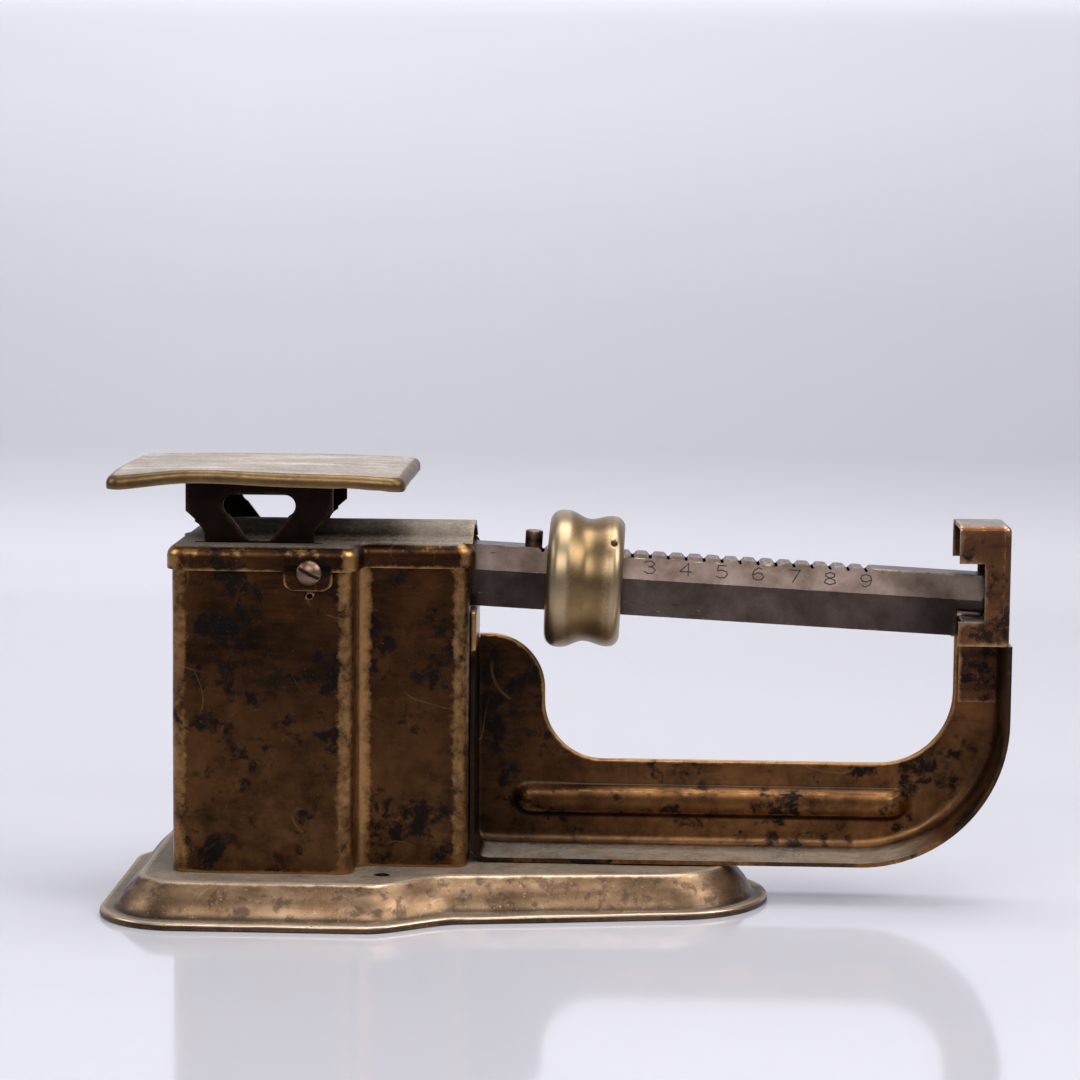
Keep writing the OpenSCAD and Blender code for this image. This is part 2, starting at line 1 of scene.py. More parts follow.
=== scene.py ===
import json
import math

import bmesh
import bpy
from mathutils import Matrix, Vector, noise


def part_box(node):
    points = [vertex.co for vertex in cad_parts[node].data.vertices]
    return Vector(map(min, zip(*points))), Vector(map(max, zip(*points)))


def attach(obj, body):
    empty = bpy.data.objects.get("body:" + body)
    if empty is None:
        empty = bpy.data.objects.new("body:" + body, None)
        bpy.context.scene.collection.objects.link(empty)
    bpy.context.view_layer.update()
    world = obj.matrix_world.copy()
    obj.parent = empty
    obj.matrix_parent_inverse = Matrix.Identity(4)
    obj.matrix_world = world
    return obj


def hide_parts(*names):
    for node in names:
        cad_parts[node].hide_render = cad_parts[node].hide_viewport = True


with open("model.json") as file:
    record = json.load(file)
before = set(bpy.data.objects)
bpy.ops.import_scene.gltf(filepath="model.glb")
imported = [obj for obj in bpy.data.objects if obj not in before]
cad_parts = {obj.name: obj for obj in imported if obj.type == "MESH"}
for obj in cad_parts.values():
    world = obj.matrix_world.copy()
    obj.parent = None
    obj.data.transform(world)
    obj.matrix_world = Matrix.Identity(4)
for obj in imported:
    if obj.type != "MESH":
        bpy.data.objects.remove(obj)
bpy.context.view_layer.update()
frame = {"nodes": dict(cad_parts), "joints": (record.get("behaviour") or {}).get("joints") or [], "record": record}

MM = 0.001

# ------------------------------------------------------------------ places from the frame


def box_mm(node):
    low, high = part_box(node)
    return low / MM, high / MM


BASE_LO, BASE_HI = box_mm("base_plate")
HOUSING_LO, HOUSING_HI = box_mm("housing")
COVER_HI = box_mm("top_cover")[1]
PAN_LO, PAN_HI = box_mm("pan")
ARM_LO, ARM_HI = box_mm("support_arm")
GUARD_LO, GUARD_HI = box_mm("beam_guard")

joints = {j["name"]: j for j in frame["joints"]}
FULCRUM = Vector(joints["beam_tilt"]["pos_m"]) / MM
BEAM_DIR = Vector(joints["poise_slide"]["axis"])
DROOP = math.atan2(-BEAM_DIR.z, BEAM_DIR.x)
ON_BEAM = Matrix.Translation(FULCRUM) @ Matrix.Rotation(DROOP, 4, "Y")

SHEET = 0.9
PLATEAU_Z = BASE_HI.z
# the screw-down holes in the base
BASE_HOLE_X = BASE_LO.x + 65
BASE_HOLE_Y = 23.0
# the housing in plan: a wide part, then a narrow one
STEP_X = HOUSING_LO.x + 41
NARROW_HALF = 14.2
# the cover: its flat top, its lap over the housing, where the hood's round end has its centre, the ears
COVER_FLAT_Z = 83.2
COVER_LAP = 1.2
HOOD_LEFT_X = HOUSING_LO.x + 12.5
EAR_X = HOUSING_LO.x + 30.9
# the beam's section, and its notches along U, the beam's own axis
BEAM_HEIGHT = 14.3
BEAM_TOP = BEAM_HEIGHT / 2
CREASE_BELOW_TOP = 5.6
BEAM_TOP_HALF = 4.0
BEAM_CREASE_HALF = 6.0
BEAM_BOTTOM_HALF = 3.0
NOTCH_START_U = 43.1
NOTCH_PITCH = 4.11
NOTCH_COUNT = 19

# ------------------------------------------------------------------ mesh helpers


def make_object(name, verts, faces, smooth=True):
    mesh = bpy.data.meshes.new(name)
    mesh.from_pydata([Vector(v) * MM for v in verts], [], faces)
    mesh.update()
    obj = bpy.data.objects.new(name, mesh)
    bpy.context.scene.collection.objects.link(obj)
    edit(obj, lambda bm: bmesh.ops.recalc_face_normals(bm, faces=bm.faces))
    for poly in obj.data.polygons:
        poly.use_smooth = smooth
    return obj


def edit(obj, change):
    bm = bmesh.new()
    bm.from_mesh(obj.data)
    change(bm)
    bm.to_mesh(obj.data)
    bm.free()
    obj.data.update()


def shell(name, rings, wrap=True, caps=(), skip=None):
    """Quads between rings of equal length, except after ring skip; the rings in caps get a face."""
    count = len(rings[0])
    verts = [p for ring in rings for p in ring]
    last = len(rings) if wrap else len(rings) - 1
    faces = []
    for r in range(last):
        if r == skip:
            continue
        a, b = r * count, ((r + 1) % len(rings)) * count
        for i in range(count):
            j = (i + 1) % count
            faces.append((a + i, a + j, b + j, b + i))
    for r in caps:
        faces.append(tuple(r * count + i for i in range(count)))
    return make_object(name, verts, faces)


def grid(name, rows):
    """Quads between open rows of equal length."""
    count = len(rows[0])
    verts = [p for row in rows for p in row]
    faces = []
    for r in range(len(rows) - 1):
        for i in range(count - 1):
            a = r * count + i
            faces.append((a, a + 1, a + count + 1, a + count))
    return make_object(name, verts, faces)


def arc(cx, cy, radius, start, end, count, last=False):
    """Points on an arc, in degrees; the last point only if asked for."""
    steps = count if last else count - 1
    return [
        (cx + radius * math.cos(a), cy + radius * math.sin(a))
        for a in (math.radians(start + (end - start) * i / count) for i in range(steps + 1))
    ]


def line(a, b, count, last=False):
    steps = count if last else count - 1
    return [tuple(p + (q - p) * i / count for p, q in zip(a, b)) for i in range(steps + 1)]


def quarter_turn(inset, radius, z, count):
    """From straight up to straight inwards, as (distance in from the outline, height)."""
    return [
        (inset + radius * (1 - math.cos(a)), z + radius * math.sin(a))
        for a in (math.radians(90 * i / count) for i in range(count + 1))
    ]


def ease(t):
    t = max(0.0, min(1.0, t))
    return t * t * (3 - 2 * t)


def s_curve(a, b, count):
    """From a to b, leaving and arriving along X."""
    return [
        (a[0] + (b[0] - a[0]) * i / count, a[1] + (b[1] - a[1]) * ease(i / count))
        for i in range(count)
    ]


def boolean(obj, cutter, operation="DIFFERENCE"):
    modifier = obj.modifiers.new("cut", "BOOLEAN")
    modifier.operation = operation
    modifier.solver = "EXACT"
    modifier.object = cutter
    apply_modifiers(obj)
    bpy.data.objects.remove(cutter, do_unlink=True)


def apply_modifiers(obj):
    bpy.context.view_layer.update()
    evaluated = obj.evaluated_get(bpy.context.evaluated_depsgraph_get())
    mesh = bpy.data.meshes.new_from_object(evaluated)
    obj.modifiers.clear()
    old = obj.data
    obj.data = mesh
    bpy.data.meshes.remove(old)


def box_cutter(lo, hi):
    (x0, y0, z0), (x1, y1, z1) = lo, hi
    rings = [
        [(x0, y0, z), (x1, y0, z), (x1, y1, z), (x0, y1, z)]
        for z in (z0, z1)
    ]
    return shell("cutter", rings, wrap=False, caps=(0, 1))


def rod(name, centre, axis, radius, start, end, sides=48):
    """A cylinder along an axis, from start to end."""
    turn = Vector(axis).to_track_quat("Z", "Y").to_matrix()
    rings = []
    for h in (start, end):
        ring = []
        for i in range(sides):
            a = 2 * math.pi * i / sides
            ring.append(Vector(centre) + turn @ Vector((radius * math.cos(a), radius * math.sin(a), h)))
        rings.append(ring)
    return shell(name, rings, wrap=False, caps=(0, 1))


def dent(obj, size, depth, seed):
    """Small unevenness of pressed sheet, along the normals."""
    mesh = obj.data
    shift = Vector((seed * 13.7, seed * 7.3, seed * 3.1))
    moved = []
    for v in mesh.vertices:
        n = noise.noise(v.co / MM / size + shift)
        moved.append(v.co + v.normal * n * depth * MM)
    for v, co in zip(mesh.vertices, moved):
        v.co = co
    mesh.update()


def mark_wear(obj, reach=0.35, passes=2, strength=1.0):
    """Vertex attribute "edge": over 0.5 on ridges that wear bright, under 0.5 in hollows, which the materials
    darken.
    """
    mesh = obj.data
    bm = bmesh.new()
    bm.from_mesh(mesh)
    bm.normal_update()
    value = []
    for v in bm.verts:
        high, low = 0.0, 0.0
        for e in v.link_edges:
            gap = (e.other_vert(v).co - v.co) / MM
            bend = -2 * gap.dot(v.normal) / max(gap.length, 0.35) ** 2
            high, low = max(high, bend), min(low, bend)
        value.append(max(-1.5, min(1.5, high + low)))
    for _ in range(passes):
        smooth = []
        for v in bm.verts:
            near = [value[e.other_vert(v).index] for e in v.link_edges]
            smooth.append(0.5 * value[v.index] + 0.5 * sum(near) / max(1, len(near)))
        value = smooth
    bm.free()
    layer = mesh.attributes.get("edge") or mesh.attributes.new("edge", "FLOAT", "POINT")
    for i, k in enumerate(value):
        layer.data[i].value = 0.5 + 0.5 * strength * math.tanh(k / reach)


def even_normals(obj, angle=38):
    """Sharp where faces meet at more than angle; elsewhere big faces keep their own direction."""
    obj.data.set_sharp_from_angle(angle=math.radians(angle))
    weighted = obj.modifiers.new("normals", "WEIGHTED_NORMAL")
    weighted.keep_sharp = True


def tessellate(obj, longest):
    """Breaks long flat faces up, so that wear stays near the edges."""

    def split(bm):
        bmesh.ops.triangulate(bm, faces=bm.faces)
        for _ in range(9):
            long_edges = [e for e in bm.edges if e.calc_length() > longest * MM]
            if not long_edges:
                break
            bmesh.ops.subdivide_edges(bm, edges=long_edges, cuts=1)
            bmesh.ops.triangulate(bm, faces=[f for f in bm.faces if len(f.verts) > 3])

    edit(obj, split)


def shade_holes(obj, places, radius, foot=0.0):
    """Painted shade: sets the edge value low on the rims of drilled holes and on what stands below foot, so they
    come out dark with no bright wear: painted shade round the holes and a painted contact shadow along the foot.
    """
    layer = obj.data.attributes["edge"]
    for v in obj.data.vertices:
        x, y, z = v.co / MM
        if z < foot or any(math.hypot(x - a, y - b) < radius for a, b in places):
            layer.data[v.index].value = 0.2


def rub(obj, places, reach, value, z0, z1):
    """Paints highlights: raises the edge value near the places, (x, y or -y) in mm, between two heights, so that
    the surface comes out bright there like worn metal.
    """
    layer = obj.data.attributes["edge"]
    for v in obj.data.vertices:
        x, y, z = v.co / MM
        for a, b in places:
            d = math.hypot(x - a, abs(y) - b) / reach
            if d < 1 and z0 < z < z1:
                old = layer.data[v.index].value
                layer.data[v.index].value = max(old, 0.5 + (value - 0.5) * (1 - d * d))


def soften(node, width, body, slot, longest=None, outer=None, cut=None):
    """A copy of a CAD node with its edges rounded. outer is (test, width) for wider bends."""
    obj = bpy.data.objects.new(node + "_piece", frame["nodes"][node].data.copy())
    bpy.context.scene.collection.objects.link(obj)
    obj.data.materials.clear()

    def clean(bm):
        bmesh.ops.remove_doubles(bm, verts=bm.verts, dist=2e-6)
        bmesh.ops.dissolve_limit(bm, angle_limit=math.radians(0.4), verts=bm.verts, edges=bm.edges)
        if outer:
            test, size = outer
            chosen = [e for e in bm.edges if test(e.verts[0].co / MM, e.verts[1].co / MM)]
            bmesh.ops.bevel(bm, geom=chosen, offset=size * MM, segments=5, profile=0.5, affect="EDGES")

    edit(obj, clean)
    if cut:
        boolean(obj, cut())
    bevel = obj.modifiers.new("round", "BEVEL")
    bevel.width = width * MM
    bevel.segments = 2
    bevel.limit_method = "ANGLE"
    bevel.angle_limit = math.radians(33)
    bevel.use_clamp_overlap = True
    apply_modifiers(obj)
    if longest:
        tessellate(obj, longest)
    for poly in obj.data.polygons:
        poly.use_smooth = True
    even_normals(obj, 50)
    mark_wear(obj)
    place(obj, body, slot, node)
    return obj


def place(obj, body, slot, *nodes):
    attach(obj, body)
    if nodes:
        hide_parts(*nodes)
    obj.data.materials.clear()
    obj.data.materials.append(MATERIALS[slot])


# ------------------------------------------------------------------ materials


class Nodes:
    """Short names for building a node tree."""

    def __init__(self, name):
        self.material = bpy.data.materials.new(name)
        self.material.use_nodes = True
        self.tree = self.material.node_tree
        self.tree.nodes.clear()
        self.out = self.add("ShaderNodeOutputMaterial")
        self.shader = self.add("ShaderNodeBsdfPrincipled")
        self.link(self.shader.outputs[0], self.out.inputs["Surface"])
        self.coords = self.add("ShaderNodeTexCoord").outputs["Object"]

    def add(self, kind, **values):
        node = self.tree.nodes.new(kind)
        for key, value in values.items():
            setattr(node, key, value)
        return node

    def link(self, a, b):
        self.tree.links.new(a, b)

    def feed(self, socket, value):
        if hasattr(value, "is_output"):
            self.link(value, socket)
        else:
            socket.default_value = value

    def stretch(self, scale):
        node = self.add("ShaderNodeMapping")
        self.link(self.coords, node.inputs["Vector"])
        node.inputs["Scale"].default_value = scale
        return node.outputs[0]

    def noise(self, size_mm, detail=4.0, rough=0.55, vector=None, warp=0.0, seed=0.0):
        node = self.add("ShaderNodeTexNoise", noise_dimensions="4D")
        self.link(vector or self.coords, node.inputs["Vector"])
        node.inputs["Scale"].default_value = 1000.0 / size_mm
        node.inputs["Detail"].default_value = detail
        node.inputs["Roughness"].default_value = rough
        node.inputs["Distortion"].default_value = warp
        node.inputs["W"].default_value = seed
        return node.outputs["Fac"]

    def ramp(self, value, *stops):
        """Stops are (position, colour or grey)."""
        node = self.add("ShaderNodeValToRGB")
        self.link(value, node.inputs["Fac"])
        elements = node.color_ramp.elements
        while len(elements) < len(stops):
            elements.new(0.5)
        for element, (position, colour) in zip(elements, stops):
            element.position = position
            element.color = (colour,) * 3 + (1,) if isinstance(colour, (int, float)) else (*colour, 1)
        return node.outputs["Color"]

    def mix(self, factor, a, b):
        node = self.add("ShaderNodeMix", data_type="RGBA")
        self.feed(node.inputs["Factor"], factor)
        for socket, value in ((node.inputs["A"], a), (node.inputs["B"], b)):
            if isinstance(value, tuple):
                value = (*value, 1)
            self.feed(socket, value)
        return node.outputs["Result"]

    def tint(self, colour, by):
        result = self.mix(1.0, colour, by)
        result.node.blend_type = "MULTIPLY"
        return result

    def math(self, operation, a, b=0.0, clamp=False):
        node = self.add("ShaderNodeMath", operation=operation, use_clamp=clamp)
        self.feed(node.inputs[0], a)
        self.feed(node.inputs[1], b)
        return node.outputs[0]

    def plus(self, a, b, clamp=False):
        return self.math("ADD", a, b, clamp)

    def minus(self, a, b, clamp=False):
        return self.math("SUBTRACT", a, b, clamp)

    def times(self, a, b):
        return self.math("MULTIPLY", a, b)

    def scratches(self, size_mm, width, seed):
        """Long thin curved lines, broken up: where a smooth noise crosses its middle."""
        field = self.noise(size_mm, 1.0, 0.3, seed=seed)
        off = self.math("ABSOLUTE", self.minus(field, 0.5))
        thin = self.ramp(off, (0.0, 1.0), (width, 0.0))
        parts = self.ramp(self.noise(size_mm * 0.4, 2.0, 0.5, seed=seed + 1), (0.52, 0.0), (0.60, 1.0))
        return self.times(thin, parts)

    def attribute(self, name):
        return self.add("ShaderNodeAttribute", attribute_name=name).outputs["Fac"]

    def normal_part(self, axis):
        geometry = self.add("ShaderNodeNewGeometry")
        split = self.add("ShaderNodeSeparateXYZ")
        self.link(geometry.outputs["Normal"], split.inputs[0])
        return split.outputs[axis]

    def position_part(self, axis):
        split = self.add("ShaderNodeSeparateXYZ")
        self.link(self.coords, split.inputs[0])
        return split.outputs[axis]

    def bump(self, height, strength, distance_mm):
        node = self.add("ShaderNodeBump")
        node.inputs["Strength"].default_value = strength
        node.inputs["Distance"].default_value = distance_mm * MM
        self.link(height, node.inputs["Height"])
        self.link(node.outputs[0], self.shader.inputs["Normal"])

    def surface(self, colour, rough, metal):
        self.feed(self.shader.inputs["Base Color"], colour)
        self.feed(self.shader.inputs["Roughness"], rough)
        self.feed(self.shader.inputs["Metallic"], metal)


def patina(name, brown, copper, dark, gold, grain, dust=(0.30, 0.27, 0.22), dust_amount=0.5,
           blotch=0.5, wear=0.5, rough=0.42, seed=0.0, blotch_mm=13.0, low_gold=0.0, dust_from=0.80,
           cloud=0.75, scratch=0.5, oxide_most=0.92, streaks=0.0):
    """Old lacquered bronze: brown film, copper showing through, dark spots, bright worn ridges, dust; also painted
    shade and painted highlights where the edge value was set on purpose, and, with low_gold, painted light on the
    cover's top beyond the pan's shadow.
    """
    n = Nodes(name)
    base = n.mix(n.ramp(n.noise(9.0, 5, 0.6, seed=seed), (0.36, 0.0), (0.68, 1.0)), brown, copper)
    clouds = n.ramp(n.noise(24.0, 4, 0.55, warp=0.2, seed=seed + 2), (0.42, 0.0), (0.62, 1.0))
    cloudy = tuple(0.35 * b + 0.4 * d for b, d in zip(brown, dark))
    base = n.mix(n.times(clouds, cloud), base, cloudy)
    if low_gold:
        tall = n.ramp(n.times(n.position_part("Z"), 10.0), (0.15, 1.0), (0.75, 0.72))
        base = n.tint(base, tall)
        along = n.plus(n.times(n.position_part("X"), 5.0), 0.5)
        beside = n.ramp(along, (0.395, 1.0), (0.405, 0.42), (0.46, 0.55), (0.53, 1.0),
                        (0.62, 1.75), (0.90, 2.0))
        low = n.ramp(n.times(n.position_part("Z"), 10.0), (0.10, low_gold), (0.62, 0.0))
        low = n.times(low, n.ramp(n.noise(5.0, 5, 0.65, seed=seed + 5), (0.38, 0.15), (0.62, 1.0)))
        base = n.mix(low, base, tuple(0.55 * c + 0.22 * g for c, g in zip(copper, gold)))
        base = n.tint(base, beside)
        # Painted light: on the cover's top, out from under the pan's shadow towards the right, the dust colour is
        # made paler, as where light falls.
        beyond_pan_shadow = n.ramp(along, (0.36, 0.0), (0.52, 1.0))
        high = n.ramp(n.times(n.position_part("Z"), 10.0), (0.79, 0.0), (0.84, 1.0))
        dust = n.mix(n.times(beyond_pan_shadow, high), dust, (0.66, 0.56, 0.45))
    streak = n.noise(2.6, 4, 0.65, vector=n.stretch((0.16, 0.16, 1.0)), seed=seed + 3)
    base = n.mix(n.ramp(streak, (0.46, 0.0), (0.78, 0.5)), base, copper)
    base = n.mix(n.ramp(streak, (0.24, 0.5), (0.44, 0.0)), base, dark)
    spots_big = n.noise(blotch_mm, 7, 0.62, warp=0.35, seed=seed + 7)
    spots_fine = n.noise(3.2, 5, 0.6, warp=0.5, seed=seed + 9)
    spots = n.plus(n.times(spots_big, 0.62), n.times(spots_fine, 0.38))
    low = 0.63 - 0.14 * blotch
    oxide = n.ramp(spots, (low - 0.025, 0.0), (low + 0.03, oxide_most))
    base = n.mix(oxide, base, dark)
    edge = n.attribute("edge")
    ragged = n.noise(1.8, 5, 0.7, seed=seed + 12)
    ragged_long = n.noise(6.0, 4, 0.6, seed=seed + 13)
    worn = n.plus(edge, n.times(n.minus(ragged, 0.5), 0.6))
    worn = n.plus(worn, n.times(n.minus(ragged_long, 0.5), 0.5))
    worn = n.ramp(worn, (0.72 - 0.12 * wear, 0.0), (1.00 - 0.16 * wear, 0.85))
    # Bright gold on worn ridges; where the edge value was raised near chosen corners, this is a painted highlight.
    base = n.mix(worn, base, gold)
    # Darker where the edge value is low: in hollows, and painted shade where it was set low on purpose (the base's
    # hole rims, and a painted contact shadow along its foot).
    hollows_and_painted_shade = n.ramp(edge, (0.22, 1.0), (0.44, 0.0))
    base = n.mix(n.times(hollows_and_painted_shade, 0.6), base, (0.025, 0.020, 0.016))
    speck = n.noise(0.55, 3, 0.7, seed=seed + 15)
    base = n.mix(n.ramp(speck, (0.62, 0.0), (0.74, grain)), base, gold)
    base = n.mix(n.ramp(speck, (0.27, grain * 1.5), (0.37, 0.0)), base, (0.012, 0.009, 0.008))
    lines = n.plus(n.scratches(40.0, 0.0008, seed + 25),
                   n.scratches(27.0, 0.0006, seed + 33), clamp=True)
    base = n.mix(n.times(lines, scratch), base, tuple(0.8 * g for g in gold))
    up = n.ramp(n.normal_part("Z"), (dust_from, 0.0), (dust_from + 0.17, 1.0))
    powder = n.times(n.ramp(n.noise(0.8, 5, 0.8, seed=seed + 18), (0.40, 0.45), (0.58, 1.0)),
                    n.ramp(n.noise(5.0, 4, 0.6, seed=seed + 19), (0.34, 0.7), (0.6, 1.0)))
    dusty = n.times(n.times(up, powder), dust_amount)
    base = n.mix(dusty, base, dust)
    if streaks:
        rubbed = n.noise(7.0, 5, 0.62, vector=n.stretch((0.22, 0.8, 1.0)), warp=0.4, seed=seed + 40)
        pale = n.times(n.ramp(rubbed, (0.50, 0.0), (0.66, streaks)), dusty)
        base = n.mix(pale, base, tuple(min(1.0, 1.55 * c) for c in dust))
        bare = n.times(n.ramp(rubbed, (0.34, 0.75 * streaks), (0.46, 0.0)), dusty)
        base = n.mix(bare, base, tuple(0.42 * c for c in dust))
    roughness = n.plus(rough - 0.06, n.times(spots_fine, 0.16))
    roughness = n.plus(roughness, n.times(oxide, 0.10))
    roughness = n.minus(roughness, n.times(worn, 0.10))
    roughness = n.plus(roughness, n.times(dusty, 0.5), clamp=True)
    metal = n.minus(0.95, n.times(oxide, 0.06))
    metal = n.minus(metal, n.times(dusty, 0.9), clamp=True)
    n.surface(base, roughness, metal)
    height = n.plus(n.times(speck, 0.5), n.times(ragged, 0.5))
    height = n.minus(height, n.times(oxide, 0.25))
    height = n.plus(height, n.times(streak, 0.25))
    n.bump(height, 0.35, 0.06)
    return n.material


def plain_metal(name, colour, shade, rough, metal=0.95, size=4.0, grain=0.5, bump=0.2, seed=0.0,
                edge_colour=None, painted_light_stops=None):
    """Steel and brass small parts: soft tarnish, fine grain and brighter ridges; given stops along X, also painted
    light: up-facing faces lighter, down-facing darker, and painted shade along X.
    """
    n = Nodes(name)
    tarnish = n.ramp(n.noise(size, 5, 0.6, warp=0.3, seed=seed), (0.38, 0.0), (0.64, 1.0))
    base = n.mix(tarnish, shade, colour)
    fine = n.noise(0.5, 4, 0.7, seed=seed + 2)
    base = n.mix(n.ramp(fine, (0.3, grain), (0.5, 0.0)), base, shade)
    edge = n.attribute("edge")
    worn = n.ramp(n.plus(edge, n.times(n.minus(fine, 0.5), 0.4)),
                  (0.62, 0.0), (0.84, 1.0))
    base = n.mix(worn, base, edge_colour or tuple(min(1.0, c * 1.7) for c in colour))
    if painted_light_stops:
        # Painted light: up-facing faces lighter, down-facing faces darker.
        base = n.tint(base, n.ramp(n.plus(n.normal_part("Z"), 0.5), (0.3, 0.62), (0.75, 1.15)))
        # Painted shade along X, by the given stops.
        along = n.plus(n.times(n.position_part("X"), 5.0), 0.5)
        base = n.tint(base, n.ramp(along, *painted_light_stops))
    roughness = n.plus(rough - 0.05, n.times(fine, 0.14), clamp=True)
    n.surface(base, roughness, metal)
    n.bump(fine, bump, 0.05)
    return n.material


MATERIALS = {
    # Housing, cover and arm; it also carries painted highlights on chosen corners and painted light on the cover's
    # top beyond the pan's shadow.
    "bronzed_sheet": patina(
        "bronzed_sheet_patina_and_painted_light", (0.038, 0.0150, 0.0060), (0.110, 0.043, 0.0145), (0.006, 0.0045, 0.0045),
        (0.45, 0.235, 0.090), 0.25, dust=(0.33, 0.28, 0.22), dust_amount=0.88, blotch=0.62, wear=0.60,
        rough=0.36, seed=1.0, low_gold=0.7, cloud=0.95, scratch=0.25, blotch_mm=11.0),
    # Base plate; it also carries painted shade at the hole rims and a painted contact shadow along the foot.
    "bronzed_base": patina(
        "bronzed_base_patina_and_painted_shade", (0.150, 0.086, 0.043), (0.35, 0.225, 0.135), (0.050, 0.031, 0.025),
        (0.55, 0.41, 0.29), 0.8, dust=(0.27, 0.225, 0.175), dust_amount=0.9, oxide_most=0.6,
        blotch=0.62, wear=0.45, rough=0.37, seed=4.0, blotch_mm=4.5, cloud=0.7, scratch=0.2),
    "worn_brass_pan": patina(
        "worn_brass_pan_patina", (0.105, 0.060, 0.025), (0.19, 0.112, 0.048), (0.050, 0.034, 0.024),
        (0.21, 0.140, 0.070), 0.35, dust=(0.47, 0.43, 0.395), dust_amount=0.92, blotch=0.25, wear=0.35,
        rough=0.40, seed=8.0, cloud=0.4, dust_from=0.93, scratch=0.9, streaks=0.8),
    "copper_guard": patina(
        "copper_guard_patina", (0.080, 0.032, 0.017), (0.23, 0.100, 0.042), (0.014, 0.009, 0.009),
        (0.46, 0.27, 0.14), 0.5, dust=(0.36, 0.34, 0.33), dust_amount=0.8, blotch=0.72, wear=0.7,
        rough=0.36, seed=12.0, blotch_mm=5.0, cloud=0.6),
    # Beam: painted light, upper facets lighter and lower facets darker, and painted shade on its left part and
    # near the guard.
    "gunmetal_beam": plain_metal(
        "gunmetal_beam_finish_and_painted_light", (0.150, 0.113, 0.099), (0.060, 0.041, 0.032), 0.33, size=11.0, grain=0.4,
        seed=20.0, edge_colour=(0.29, 0.23, 0.19),
        painted_light_stops=((0.38, 0.45), (0.475, 0.60), (0.52, 1.0), (0.86, 1.0), (0.91, 0.45), (0.95, 0.40))),
    "olive_brass": plain_metal(
        "olive_brass_finish", (0.25, 0.165, 0.080), (0.165, 0.105, 0.048), 0.33, size=9.0, grain=0.4,
        seed=24.0, edge_colour=(0.34, 0.25, 0.15)),
    "blackened_steel": plain_metal(
        "blackened_steel_finish", (0.018, 0.009, 0.006), (0.008, 0.005, 0.004), 0.42, metal=0.97, size=6.0,
        seed=28.0, edge_colour=(0.07, 0.035, 0.022)),
    "dark_steel": plain_metal(
        "dark_steel_finish", (0.070, 0.040, 0.028), (0.030, 0.018, 0.013), 0.34, size=2.0, seed=32.0,
        edge_colour=(0.20, 0.12, 0.085)),
    "hard_steel": plain_metal(
        "hard_steel_finish", (0.40, 0.40, 0.41), (0.24, 0.24, 0.25), 0.28, size=2.0, seed=36.0),
    "cast_weight": plain_metal(
        "cast_weight_finish", (0.13, 0.13, 0.135), (0.07, 0.07, 0.072), 0.62, size=3.0, bump=0.6,
        seed=40.0),
    "plain_brass": plain_metal(
        "plain_brass_finish", (0.45, 0.31, 0.12), (0.25, 0.16, 0.06), 0.34, size=2.0, seed=44.0),
    "copper_screw": plain_metal(
        "copper_screw_finish", (0.50, 0.29, 0.20), (0.30, 0.15, 0.10), 0.32, size=1.5, seed=48.0,
        edge_colour=(0.70, 0.50, 0.40)),
}

# ------------------------------------------------------------------ base plate


def base_outline(points):
    """The near half's points, then the same mirrored: a closed ring."""
    far = [(x, -y) for x, y in reversed(points)]
    return points + far


